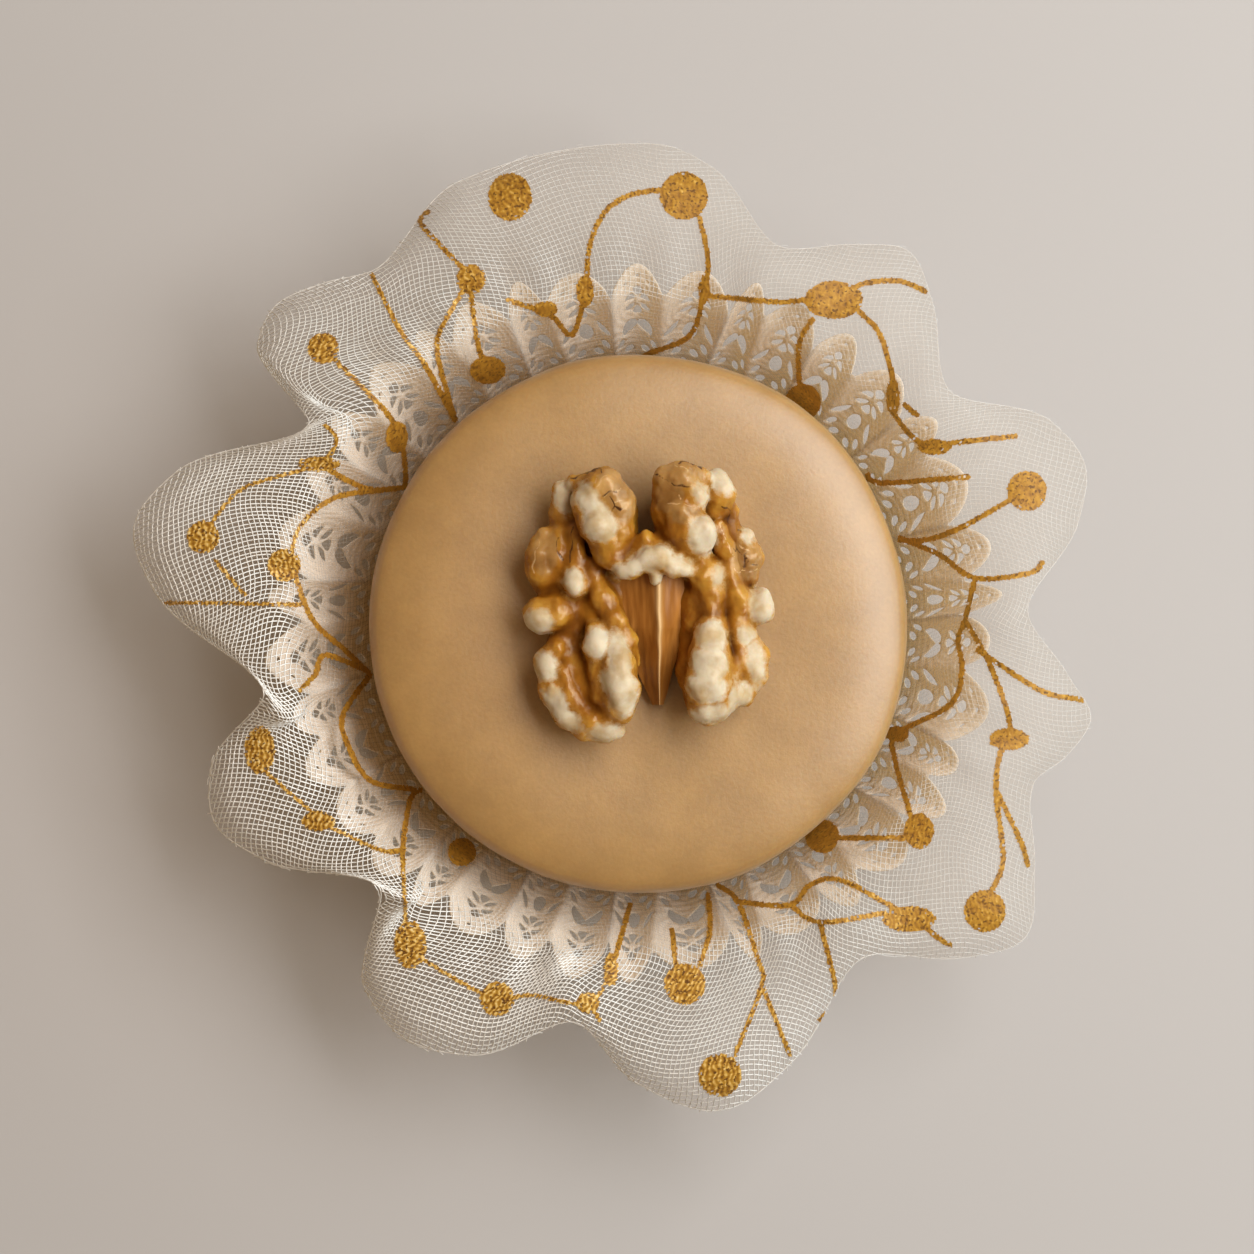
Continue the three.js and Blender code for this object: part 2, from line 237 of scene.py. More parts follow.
def give(made, name, values):
    """Put a value at each point of a piece's mesh under a name."""
    held = made.data.attributes.new(name, "FLOAT", "POINT")
    held.data.foreach_set("value", np.asarray(values, np.float32))


def case_radius(angle, height):
    """Mean radius of the paper wall: from the base to an oval rim, by a power of the height."""
    rim = CASE_RIM_RADIUS + CASE_OVAL * np.cos(2 * angle) + CASE_LEAN * np.cos(angle - CASE_LEAN_AT)
    share = np.maximum(height, 0.0) / CASE_HEIGHT
    return CASE_BASE_RADIUS + (rim - CASE_BASE_RADIUS) * share**CASE_FLARE_POWER


def flute_depth(height):
    """Half depth of the flutes, growing evenly from the base to the rim."""
    return FLUTE_DEPTH_BASE + (FLUTE_DEPTH_RIM - FLUTE_DEPTH_BASE) * height / CASE_HEIGHT


def drop(x, y, length, width, turn, steps=12):
    """A teardrop: a circle whose width shrinks towards one end by the sine of half its angle."""
    t = np.linspace(0, 2 * math.pi, steps, endpoint=False) + math.pi / steps
    along = 0.5 * length * np.cos(t)
    across = 0.62 * width * np.sin(t) * np.sin(t / 2)
    c, s = math.cos(turn), math.sin(turn)
    return np.stack([x + along * c - across * s, y + along * s + across * c], axis=1)


def oval(x, y, half, tall, corners):
    """An upright oval hole: a circle of the half width, stretched tall times as high."""
    t = np.linspace(0, 2 * math.pi, corners, endpoint=False)
    return np.stack([x + half * np.cos(t), y + half * tall * np.sin(t)], axis=1)


def pierced_repeat():
    """The holes of one repeat, in mm across and up the flat wall.

    Each flute has pinholes along its scallop, a flower of six drops, and below it pairs of drops
    and ovals, on both sides of its middle."""
    holes = []
    flute = REPEAT_WIDTH / REPEAT_FLUTES
    up = math.pi / 2
    for k in range(REPEAT_FLUTES):
        x = (k + 0.5) * flute
        for i in (-1, 0, 1):
            holes.append(oval(x + PIN_STEP * i, PIN_UP - PIN_FALL * i * i, PIN_RADIUS, 1.0, 7))
        for i in range(6):
            turn = up + i * math.pi / 3
            petal_x, petal_y = FLOWER_WIDE * math.cos(turn), FLOWER_TALL * math.sin(turn)
            lean = math.atan2(petal_y, petal_x) + math.pi
            length = FLOWER_DROP + FLOWER_STRETCH * abs(math.sin(turn))
            holes.append(drop(x + petal_x, FLOWER_UP + petal_y, length, FLOWER_DROP_WIDTH, lean))
        across, height, length, width, lean = FLUTE_DROPS[k]
        for side in (1, -1):
            holes.append(drop(x + side * across, height, length, width, up + side * lean))
        for across, height, half, tall, corners in FLUTE_OVALS[k] + SHARED_OVALS:
            for side in (1, -1) if across else (1,):
                holes.append(oval(x + side * across, height, half, tall, corners))
    return holes


def inside(points, outline):
    """Whether each point lies in a closed outline, by counting the edges that a ray crosses."""
    x, y = points[:, 0][:, None], points[:, 1][:, None]
    x0, y0 = outline[:, 0][None], outline[:, 1][None]
    x1, y1 = np.roll(outline[:, 0], -1)[None], np.roll(outline[:, 1], -1)[None]
    spans = (y0 > y) != (y1 > y)
    with np.errstate(divide="ignore", invalid="ignore"):
        cross = x < (x1 - x0) * (y - y0) / (y1 - y0) + x0
    return (spans & cross).sum(axis=1) % 2 == 1


def flat_repeat():
    """One repeat of the flat wall as points in mm and triangles, with its holes left open."""
    holes = pierced_repeat()
    columns = round(REPEAT_WIDTH / PAPER_GRID)
    rows = round(CASE_SLOPE / PAPER_GRID)
    gx, gy = np.meshgrid(
        np.linspace(0, REPEAT_WIDTH, columns + 1), np.linspace(0, CASE_SLOPE, rows + 1)
    )
    grid = np.stack([gx.ravel(), gy.ravel()], axis=1)
    keep = np.ones(len(grid), bool)
    for hole in holes:
        reach = np.min(np.linalg.norm(grid[:, None] - hole[None], axis=2), axis=1)
        keep &= ~inside(grid, hole) & (reach > HOLE_MARGIN)
    points = list(map(tuple, grid[keep]))
    edges = []
    for hole in holes:
        first = len(points)
        points += list(map(tuple, hole))
        edges += [(first + i, first + (i + 1) % len(hole)) for i in range(len(hole))]
    made = delaunay_2d_cdt(points, edges, [], 0, 1e-6)
    flat = np.array([tuple(p) for p in made[0]])
    triangles = np.array([list(f) for f in made[2]])
    middles = flat[triangles].mean(axis=1)
    solid = np.ones(len(triangles), bool)
    for hole in holes:
        solid &= ~inside(middles, hole)
    return flat, triangles[solid]


def fluted(across, up):
    """The wall's place in mm: across is flutes round the case, up is mm along the slope.

    A flute is a rounded lobe that bulges out between two sharp creases, by the absolute sine of
    half its turn. Each lobe is set out, and each crease moved along the case, by a small drawn
    amount, and the rim is cut in a scallop on every lobe, to a drawn depth."""
    draw = np.random.default_rng(LOBE_SEED)
    step_out, step_on = draw.uniform(0, STEP_OUT, FLUTES), draw.uniform(-STEP_ON, STEP_ON, FLUTES)
    nick, short = draw.uniform(NICK_LEAST, NICK_MOST, FLUTES), draw.uniform(0, SHORTEST, FLUTES) ** 2
    lobe = np.floor(across + 1e-6).astype(int) % FLUTES
    place = across - np.floor(across + 1e-6)
    bulge = np.abs(np.sin(math.pi * place)) ** 0.6
    bell = np.sin(math.pi * place) ** 2
    nick, step_on = (
        row[lobe] * (1 - place) + np.roll(row, -1)[lobe] * place for row in (nick, step_on)
    )
    cut = SCALLOP_CUT * nick * np.abs(2 * place - 1) ** 2.5 + short[lobe] * bell
    up = up - cut * np.clip((up - SCALLOP_FROM) / (CASE_SLOPE - SCALLOP_FROM), 0, 1)
    share = up / CASE_SLOPE
    roll = np.clip((up - ROLL_FROM) / (CASE_SLOPE - ROLL_FROM), 0, 1) ** 2
    angle = (across + step_on * share) * 2 * math.pi / FLUTES
    height = PAPER / 2 + share * (CASE_HEIGHT - PAPER / 2 + SCALLOP * (2 * bell - 1) * share**3)
    radius = case_radius(angle, height) + (2 * bulge - 1) * flute_depth(height)
    radius = radius + (step_out[lobe] + LOBE_PUFF) * bell * share + ROLL_OUT * roll
    height = height - ROLL_DROP * roll
    return np.stack([radius * np.cos(angle), radius * np.sin(angle), height], axis=-1)


flat, triangles = flat_repeat()
repeats = FLUTES // REPEAT_FLUTES
across = REPEAT_FLUTES * (flat[:, 0] / REPEAT_WIDTH + np.arange(repeats)[:, None])
up = np.repeat(flat[None, :, 1], repeats, axis=0)
wall = fluted(across, up).reshape(-1, 3)
lobe_x = (across.ravel() % 1 - 0.5) * REPEAT_WIDTH / REPEAT_FLUTES
flower_way = np.hypot(lobe_x, (up.ravel() - FLOWER_UP) * FLOWER_WIDE / FLOWER_TALL)
rim_way = CASE_SLOPE - up.ravel()
wall_faces = (triangles[None] + len(flat) * np.arange(repeats)[:, None, None]).reshape(-1, 3)
cells = np.round(wall / WELD).astype(np.int64)
_, first, weld = np.unique(cells, axis=0, return_index=True, return_inverse=True)
wall, wall_faces = wall[first], weld.ravel()[wall_faces]
lobe_x, flower_way, rim_way = lobe_x[first], flower_way[first], rim_way[first]
base_ring = np.flatnonzero(wall[:, 2] < PAPER / 2 + 1e-3)
base_ring = base_ring[np.argsort(np.arctan2(wall[base_ring, 1], wall[base_ring, 0]))]
middle = len(wall)
wall = np.vstack([wall, [[0, 0, PAPER / 2]]])
fan = np.stack([np.full(len(base_ring), middle), np.roll(base_ring, -1), base_ring], axis=1)
paper_faces = np.vstack([wall_faces, fan])
a, b, c = (wall[paper_faces[:, i]] for i in range(3))
outward = (np.cross(b - a, c - a) * ((a + b + c) / 3 - [0, 0, 60])).sum(axis=1) > 0
paper_faces[~outward] = paper_faces[~outward][:, ::-1]

paper_look, tree = material("lace_paper")
place = on_object(tree)
clouds = grain(tree, place, 160.0, 3.0)[0]
fibres = grain(tree, place, 2600.0, 4.0)[0]
tint = ramp(tree, clouds, [(0.3, (0.92, 0.89, 0.85)), (0.7, (0.97, 0.96, 0.94))])
rings, picots = (
    worked(tree, "SINE", worked(tree, "MULTIPLY", attribute(tree, name), EMBOSS_WAVE))
    for name in ("flower", "lobe")
)
near_rim = mapped(tree, attribute(tree, "rim"), 1.6, 0.9)
stamped = node(tree, "ShaderNodeMix", {"Factor": near_rim, 2: rings, 3: picots}, data_type="FLOAT")
emboss = bump(tree, stamped.outputs[0], 0.4, 0.00008)
relief = bump(tree, fibres, 0.25, 0.0001, Normal=emboss)
front = principled(
    tree, {"Base Color": tint, "Roughness": 0.8, "Specular IOR Level": 0.3, "Normal": relief}
)
through = node(tree, "ShaderNodeBsdfTranslucent", {"Color": (1.0, 0.79, 0.44, 1.0)}).outputs[0]
surface(tree, mixed(tree, 0.45, front, through))

lace_case = piece("paper_lace_case", wall, paper_faces, paper_look)
for name, values, at_middle in (
    ("flower", flower_way, 9.0), ("rim", rim_way, 9.0), ("lobe", lobe_x, 0.0),
):
    give(lace_case, name, np.append(values, at_middle))
stiff = lace_case.modifiers.new("paper", "SOLIDIFY")
stiff.thickness = PAPER * MM
stiff.offset = 0.0
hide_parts("lace_case")
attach(lace_case, "root")


# Fabric cup. Sheer off-white organza, cut like a ten-lobed flower and heat-set: it lines the paper
# case, passes over its rim and spreads into wavy petals whose notches stand up. The threads of
# the plain weave are round, 0.57 mm apart, and the raw edge is a little frayed.
# A row of PETALS holds four points of a petal's edge, from its notch: degrees round and radius.
PETALS = [
    (2, 38.6, 13, 45.0, 20, 47.3, 26, 45.9),
    (37, 38.5, 48, 43.6, 54, 45.9, 60, 43.6),
    (69.5, 40.0, 81, 46.2, 88, 47.9, 112, 47.6),
    (126, 43.9, 133, 46.3, 139, 48.1, 144, 46.9),
    (149, 38.1, 162, 48.6, 169, 51.2, 176, 48.4),
    (190, 37.6, 198, 44.5, 205, 46.6, 212, 44.1),
    (225, 36.4, 233, 45.3, 241, 47.4, 249, 46.0),
    (261, 40.0, 270, 45.8, 280, 49.2, 289, 46.4),
    (303.5, 39.9, 315, 46.9, 321, 49.7, 328, 46.6),
    (338, 42.4, 343, 44.7, 348, 46.1, 353, 43.2),
]
NOTCH_LEANS = [-1.5, 1.5, 1.0, -2.0, -4.0, 4.0, 3.6, -2.0, 1.8, -1.5]
NOTCH_RADIUS, TIP_RADIUS = 36.4, 51.2
CUP_BOTTOM_RADIUS, CUP_BOTTOM_HEIGHT = 23.6, 0.75
CUP_WALL_TOP = 15.2
RIM_CROSSING_INSET, RIM_CROSSING_HEIGHT = 1.5, 17.7
FOLD_DEPTH = 1.1
EDGE_LOW, EDGE_HIGH = 15.6, 23.6
PETAL_ARCH = 1.8
PLEATS, PLEAT_DEPTH = 26, 0.55
BOTTOM_ROWS, WALL_ROWS, CROSSING_ROWS, PETAL_ROWS, SPARE_ROWS = 24, 36, 6, 44, 4
CUP_COLUMNS = 1440
THREAD_PITCH, THREAD_RADIUS, THREAD_CORNERS = 0.57, 0.074, 3
CASE_THREAD_RADIUS = 0.04
JITTER, SWAY, SWAY_TURN, WEAVE_LIFT = 0.05, 0.09, 0.45, 0.55
CLEAR_PAST, CLEAR_FADE, LIT_MOST, LIT_WIDTH = 0.5, 2.0, 0.9, 50.0
SMOOTHINGS = 6
VEIL_STEP, VEIL_PETAL_ROWS = 3, 12
FRAY = 0.45
EDGE_BEAD, EDGE_INSET, EDGE_CORNERS = 0.075, 0.04, 4
RIM_ROLL, RIM_ROLL_FROM = 3.0, 0.79
GATHERS, GATHER_DEPTH, GATHER_REACH = 40, 0.81, 0.6
LINING_GAP = 0.6
LEAN_WIDTH = 9.0
RIDGE_POWER = 3.2
CLOTH_SEED = 11
DRIFT, DRIFT_WAVE = 1.1, 23.0


def petal_edge(degrees):
    """Radius of the petals' edge in plan: a cubic through the petals' points.

    Its slope at a point is the harmonic mean of the rises beside it, or level at a tip or notch."""
    knots = np.array([(row[i], row[i + 1]) for row in PETALS for i in (0, 2, 4, 6)], float)
    knots = np.vstack([knots - [360, 0], knots, knots + [360, 0]])
    rise = np.diff(knots[:, 1]) / np.diff(knots[:, 0])
    before, after = rise[:-1], rise[1:]
    slope = np.zeros(len(knots))
    same = before * after > 0
    slope[1:-1][same] = 2 * before[same] * after[same] / (before[same] + after[same])
    i = np.searchsorted(knots[:, 0], degrees, side="right") - 1
    span = knots[i + 1, 0] - knots[i, 0]
    t = (degrees - knots[i, 0]) / span
    stay = (1 + 2 * t) * (1 - t) ** 2
    bend = t * (1 - t) ** 2 * slope[i] - t**2 * (1 - t) * slope[i + 1]
    return stay * knots[i, 1] + (1 - stay) * knots[i + 1, 1] + span * bend


def waves(angle, turns, seed):
    """A smooth uneven wave round the case: three sines near a number of turns, seeded phases."""
    draw = np.random.default_rng(seed)
    total = np.zeros_like(angle)
    for k, share in ((-0.23, 0.4), (0.0, 0.6), (0.19, 0.4)):
        total += share * np.cos(round(turns * (1 + k)) * angle + draw.uniform(0, 2 * math.pi))
    return total


def fold_lean(angle):
    """Sideways lean in mm of the ridge that runs to each notch, faded out by a bell in degrees."""
    total = np.zeros_like(angle)
    for row, lean in zip(PETALS, NOTCH_LEANS):
        away = (np.degrees(angle) - row[0] + 180) % 360 - 180
        total += lean * np.exp(-((away / LEAN_WIDTH) ** 2))
    return total


def lining_radius(angle, height):
    """Radius of the cloth where it lines the paper wall, a small gap inside its creases."""
    return case_radius(angle, height) - flute_depth(height) - LINING_GAP


def cup_rows():
    """The cup's middle surface by rows from its centre to past its edge, at even plan angles.

    Flat bottom, a wall that follows the paper's with pleats inwards, a crossing over the rim, and
    petals that run out to the edge with an arch on the way. Ridges lean sideways halfway out."""
    angle = np.linspace(0, 2 * math.pi, CUP_COLUMNS, endpoint=False)
    edge = petal_edge(np.degrees(angle))
    notch = (TIP_RADIUS - edge) / (TIP_RADIUS - NOTCH_RADIUS)
    pleat = 0.5 + 0.5 * np.clip(waves(angle, PLEATS, CLOTH_SEED), -1, 1)
    rows = []
    for share in np.linspace(0, 1, BOTTOM_ROWS, endpoint=False):
        rows.append((share * CUP_BOTTOM_RADIUS, CUP_BOTTOM_HEIGHT))
    start = CUP_BOTTOM_RADIUS - lining_radius(angle, CUP_BOTTOM_HEIGHT)
    for share in np.linspace(0, 1, WALL_ROWS, endpoint=False):
        height = CUP_BOTTOM_HEIGHT + share * (CUP_WALL_TOP - CUP_BOTTOM_HEIGHT)
        fold = FOLD_DEPTH * notch * share**2 + PLEAT_DEPTH * pleat * share * (0.2 + 0.8 * share)
        rows.append((lining_radius(angle, height) - fold + start * (1 - share) ** 6, height))
    top = lining_radius(angle, CUP_WALL_TOP) - FOLD_DEPTH * notch - PLEAT_DEPTH * pleat
    crossing = case_radius(angle, CASE_HEIGHT) - RIM_CROSSING_INSET
    for share in np.linspace(0, 1, CROSSING_ROWS, endpoint=False):
        height = CUP_WALL_TOP + (RIM_CROSSING_HEIGHT - CUP_WALL_TOP) * share
        rows.append((top + (crossing - top) * share, height))
    gather = GATHER_DEPTH * waves(angle, GATHERS, CLOTH_SEED + 3)
    edge_height = EDGE_LOW + (EDGE_HIGH - EDGE_LOW) * notch**RIDGE_POWER
    for share in np.arange(PETAL_ROWS + SPARE_ROWS) / (PETAL_ROWS - 1):
        arch = PETAL_ARCH * 4 * share * (1 - share)
        roll = (1 - notch) * (max(share - RIM_ROLL_FROM, 0) / (1 - RIM_ROLL_FROM)) ** 2
        gathered = min(share / GATHER_REACH, 1.0)
        ruffle = gather * math.sin(math.pi * gathered) * (1 - gathered)
        height = RIM_CROSSING_HEIGHT + (edge_height - RIM_CROSSING_HEIGHT) * share
        rows.append((crossing + (edge - crossing) * share, height + arch - RIM_ROLL * roll + ruffle))
    radius, height = (np.array([row[i] + 0 * angle for row in rows]) for i in (0, 1))
    petal_rows = np.arange(len(rows)) - (len(rows) - PETAL_ROWS - SPARE_ROWS)
    out = np.clip(petal_rows / (PETAL_ROWS - 1), 0, 1)
    lean = (fold_lean(angle) * notch**RIDGE_POWER)[None] * (4 * out * (1 - out))[:, None]
    x = radius * np.cos(angle) - lean * np.sin(angle)
    y = radius * np.sin(angle) + lean * np.cos(angle)
    return np.stack([x, y, height], axis=-1)


def smoothed(grid, steps):
    """The grid with its rows averaged with their neighbours, so that its bends are round."""
    for _ in range(steps):
        inner = 0.25 * grid[:-2] + 0.5 * grid[1:-1] + 0.25 * grid[2:]
        grid = np.concatenate([grid[:1], inner, grid[-1:]])
    return grid


def cloth_grid():
    """The cup's surface at even angles of the flat cloth, and each row's flat radius.

    Round each row, cloth angle grows with the length of the wavy line, so that threads crowd
    where the petals are steep. Flat radius is the length walked out from the centre."""
    grid = smoothed(cup_rows(), SMOOTHINGS)
    closed = np.concatenate([grid, grid[:, :1]], axis=1)
    steps = np.linalg.norm(np.diff(closed, axis=1), axis=2)
    walked = np.concatenate([np.zeros((len(grid), 1)), np.cumsum(steps, axis=1)], axis=1)
    walked[0] = np.linspace(0, 1, CUP_COLUMNS + 1)
    plan = np.linspace(0, 2 * math.pi, CUP_COLUMNS + 1)
    cloth = walked / walked[:, -1:] * 2 * math.pi
    cloth -= (cloth - plan).mean(axis=1, keepdims=True)
    even = plan[:-1]
    out = np.empty_like(grid)
    for k in range(len(grid)):
        once = cloth[k, :-1]
        at = np.concatenate([once - 2 * math.pi, once, once + 2 * math.pi])
        for axis in range(3):
            out[k, :, axis] = np.interp(even, at, np.tile(grid[k, :, axis], 3))
    out_steps = np.linalg.norm(np.diff(out, axis=0), axis=2)
    flat_radius = np.concatenate([np.zeros((1, CUP_COLUMNS)), np.cumsum(out_steps, axis=0)])
    return out, flat_radius


cloth_points, cloth_radius = cloth_grid()
edge_row = BOTTOM_ROWS + WALL_ROWS + CROSSING_ROWS + PETAL_ROWS - 1
petals_start = BOTTOM_ROWS + WALL_ROWS + CROSSING_ROWS
inner_radius = cloth_radius[: petals_start + 1].mean(axis=1)
flat_edge = inner_radius[-1] + cloth_radius[edge_row] - cloth_radius[petals_start]


def cloth_row(angle, radius):
    """The grid row, with its fraction, that a flat place lies on.

    Inside the rim crossing all angles share one table of flat radii. Past it, rows share out the
    length of the petal at that angle."""
    column = angle / (2 * math.pi) * CUP_COLUMNS
    whole = np.floor(column).astype(int)
    part = column - whole
    length = flat_edge - inner_radius[-1]
    reach = length[whole % CUP_COLUMNS] * (1 - part) + length[(whole + 1) % CUP_COLUMNS] * part
    inner = np.interp(radius, inner_radius, np.arange(petals_start + 1))
    outer = petals_start + (radius - inner_radius[-1]) / reach * (PETAL_ROWS - 1)
    return np.where(radius <= inner_radius[-1], inner, outer)


def unit(vectors):
    """Vectors, along the last axis, scaled to a length of 1."""
    return vectors / np.maximum(np.linalg.norm(vectors, axis=-1, keepdims=True), 1e-9)


ahead = np.roll(cloth_points, -1, axis=1) - np.roll(cloth_points, 1, axis=1)
cloth_normals = -unit(np.cross(ahead, np.gradient(cloth_points, axis=0)))
cloth_normals[0] = (0, 0, 1)


def on_cloth(x, y):
    """Places on the cup in mm, and its unit normals, of flat cloth places in mm."""
    angle = np.arctan2(y, x) % (2 * math.pi)
    row = np.clip(cloth_row(angle, np.hypot(x, y)), 0, len(cloth_points) - 1.001)
    column = angle / (2 * math.pi) * CUP_COLUMNS
    r0, c0 = np.floor(row).astype(int), np.floor(column).astype(int)
    fr, fc = (row - r0)[..., None], (column - c0)[..., None]
    c0 %= CUP_COLUMNS
    c1 = (c0 + 1) % CUP_COLUMNS
    mixes = []
    for grid in (cloth_points, cloth_normals):
        low, high = (grid[r, c0] * (1 - fc) + grid[r, c1] * fc for r in (r0, r0 + 1))
        mixes.append(low * (1 - fr) + high * fr)
    return mixes[0], unit(mixes[1])


def drifted(x, y):
    """Flat cloth places of the even weave's places, both in mm.

    Handling has pulled the weave askew: each direction wanders by a slow sine of the other."""
    turn = 2 * math.pi / DRIFT_WAVE
    return x + DRIFT * np.sin(turn * y + 0.6), y + DRIFT * np.sin(turn * x + 2.1)


def flat_limit(angle):
    """Flat radius of the cut edge at a cloth angle."""
    grid = np.linspace(0, 2 * math.pi, CUP_COLUMNS + 1)
    return np.interp(angle % (2 * math.pi), grid, np.append(flat_edge, flat_edge[0]))


def clearness(points):
    """How far the cloth looks clear, from 0 on the left petals to 1 over the paper case.

    Threads that lie on white paper, or against the lit side of the table, are hard to see."""
    x, y = points[..., 0], points[..., 1]
    to_rim = case_radius(np.arctan2(y, x), CASE_HEIGHT) + CLEAR_PAST - np.hypot(x, y)
    over_case = np.clip(to_rim / CLEAR_FADE, 0, 1)
    lit = np.clip(0.5 + (0.9 * x + 0.45 * y) / LIT_WIDTH, 0, 1)
    return np.maximum(over_case, LIT_MOST * lit)


def thread_radius(points):
    """Radius of the threads in mm, less where the cloth is drawn tight over the paper case."""
    return THREAD_RADIUS + (CASE_THREAD_RADIUS - THREAD_RADIUS) * clearness(points)


def tube(centre, ahead, normals, size, corners):
    """Points of a tube round places on the cloth, a ring of corners at each, in mm."""
    side = unit(np.cross(normals, unit(ahead)))
    turns = math.pi / 2 + np.arange(corners) * 2 * math.pi / corners
    ring = [math.cos(t) * normals + math.sin(t) * side for t in turns]
    return centre[..., None, :] + size[..., None, None] * np.stack(ring, axis=-2)


def ring_quads(rows, columns, closed=False):
    """Quads between each ring of points and the next, and from the last to the first if closed."""
    at = np.arange(rows * columns).reshape(rows, columns)
    if closed:
        at = np.vstack([at, at[:1]])
    beside = np.roll(at, -1, axis=1)
    return np.stack([at[:-1], beside[:-1], beside[1:], at[1:]], axis=-1).reshape(-1, 4)


def threads(sign, seed):
    """All threads of one direction as open three-sided tubes: points in mm and quads.

    A thread follows a straight line of the flat cloth, over and under its neighbours in turn,
    and sticks out of the cut edge by a drawn length. sign is 1 for warp and -1 for weft."""
    draw = np.random.default_rng(seed)
    half = int((flat_edge.max() + FRAY + DRIFT) / THREAD_PITCH) + 1
    line = np.arange(-half, half + 1)
    along, across = np.meshgrid(line, line)
    jitter = JITTER * draw.standard_normal(len(line))[:, None]
    phase = draw.uniform(0, 2 * math.pi, len(line))[:, None]
    wobble = jitter + SWAY * np.sin(SWAY_TURN * along + phase)
    u, v = along * THREAD_PITCH, (across + wobble) * THREAD_PITCH
    x, y = drifted(u, v) if sign > 0 else drifted(v, u)
    fray = draw.uniform(0, FRAY, (len(line), 2))
    end = flat_limit(np.arctan2(y, x)) + np.where(along < 0, fray[:, :1], fray[:, 1:])
    points, normals = on_cloth(x, y)
    over = np.where((along + across) % 2 == 0, 1.0, -1.0) * sign
    size = thread_radius(points)
    points = points + normals * (over * WEAVE_LIFT * size)[..., None]
    ring = tube(points, np.gradient(points, axis=1), normals, size, THREAD_CORNERS)
    keep = np.hypot(x, y) <= end
    rows, cols = np.nonzero(keep[:, :-1] & keep[:, 1:])
    first = (rows * len(line) + cols) * THREAD_CORNERS
    faces = []
    for k in range(THREAD_CORNERS):
        beside = (k + 1) % THREAD_CORNERS
        ends = (k, THREAD_CORNERS + k, THREAD_CORNERS + beside, beside)
        faces.append(np.stack([first + i for i in ends], axis=1))
    used, faces = np.unique(np.concatenate(faces), return_inverse=True)
    return ring.reshape(-1, 3)[used], faces.reshape(-1, 4)


def edge_bead():
    """The heat-cut edge as a thin closed tube along the petals' outline: points in mm and quads."""
    angle = np.linspace(0, 2 * math.pi, CUP_COLUMNS, endpoint=False)
    radius = flat_edge - EDGE_INSET
    centre, normals = on_cloth(radius * np.cos(angle), radius * np.sin(angle))
    ahead = np.roll(centre, -1, axis=0) - np.roll(centre, 1, axis=0)
    size = EDGE_BEAD * (1 - 0.45 * clearness(centre)) * (1 + 0.25 * waves(angle, 300, CLOTH_SEED))
    ring = tube(centre, ahead, normals, size, EDGE_CORNERS)
    return ring.reshape(-1, 3), ring_quads(CUP_COLUMNS, EDGE_CORNERS, closed=True)[:, ::-1]


def veil():
    """The cloth's middle surface as a thin film inside the cut edge: points in mm and quads."""
    petals = np.linspace(petals_start, edge_row, VEIL_PETAL_ROWS).round().astype(int)
    rows = np.concatenate([np.arange(1, petals_start, VEIL_STEP), petals])
    points = cloth_points[rows, ::VEIL_STEP]
    count = points.shape[1]
    first = np.arange(0, count, 2)
    middle = np.full(len(first), len(rows) * count)
    fan = np.stack([middle, (first + 2) % count, first + 1, first], axis=1)
    points = np.vstack([points.reshape(-1, 3), cloth_points[0, 0]])
    return points, np.vstack([ring_quads(len(rows), count), fan])


def let_through(tree, share, gain):
    """A clear share, raised for light on its way to what lies behind: fine filaments pass it on."""
    passing = node(tree, "ShaderNodeLightPath").outputs["Is Shadow Ray"]
    passing = worked(tree, "MULTIPLY", passing, gain)
    made = node(tree, "ShaderNodeMix", {"Factor": passing, 2: share, 3: 1.0}, data_type="FLOAT")
    return made.outputs[0]


def cloth_piece(name, shape, look):
    """A piece of the cup from its points and faces, with how clear it looks at each point."""
    points, faces = shape
    cloth = piece(name, points, faces, look)
    give(cloth, "clear", clearness(points))
    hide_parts("organza_cup")
    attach(cloth, "root")
    return cloth


thread_look, tree = material("organza_thread")
slub = grain(tree, on_object(tree), 900.0, 2.0)[0]
tint = ramp(tree, slub, [(0.3, (0.86, 0.81, 0.74)), (0.7, (0.95, 0.91, 0.85))])
fibre = principled(
    tree,
    {
        "Base Color": tint, "Roughness": 0.45, "Specular IOR Level": 0.5,
        "Sheen Weight": 0.2, "Sheen Roughness": 0.4,
    },
)
clear = node(tree, "ShaderNodeBsdfTransparent").outputs[0]
share = let_through(tree, worked(tree, "MULTIPLY", attribute(tree, "clear"), 0.90), 0.12)
surface(tree, mixed(tree, share, fibre, clear))

veil_look, tree = material("organza_veil")
film = principled(tree, {"Base Color": (0.50, 0.43, 0.34, 1.0), "Roughness": 0.5})
clear = node(tree, "ShaderNodeBsdfTransparent", {"Color": (0.985, 0.96, 0.93, 1.0)}).outputs[0]
share = let_through(tree, mapped(tree, attribute(tree, "clear"), 0.0, 1.0, 0.98, 0.83), 0.8)
surface(tree, mixed(tree, share, film, clear))

warp = cloth_piece("organza_warp", threads(1, CLOTH_SEED), thread_look)
weft = cloth_piece("organza_weft", threads(-1, CLOTH_SEED + 1), thread_look)
film_sheet = cloth_piece("organza_veil", veil(), veil_look)
bead = cloth_piece("organza_edge", edge_bead(), thread_look)


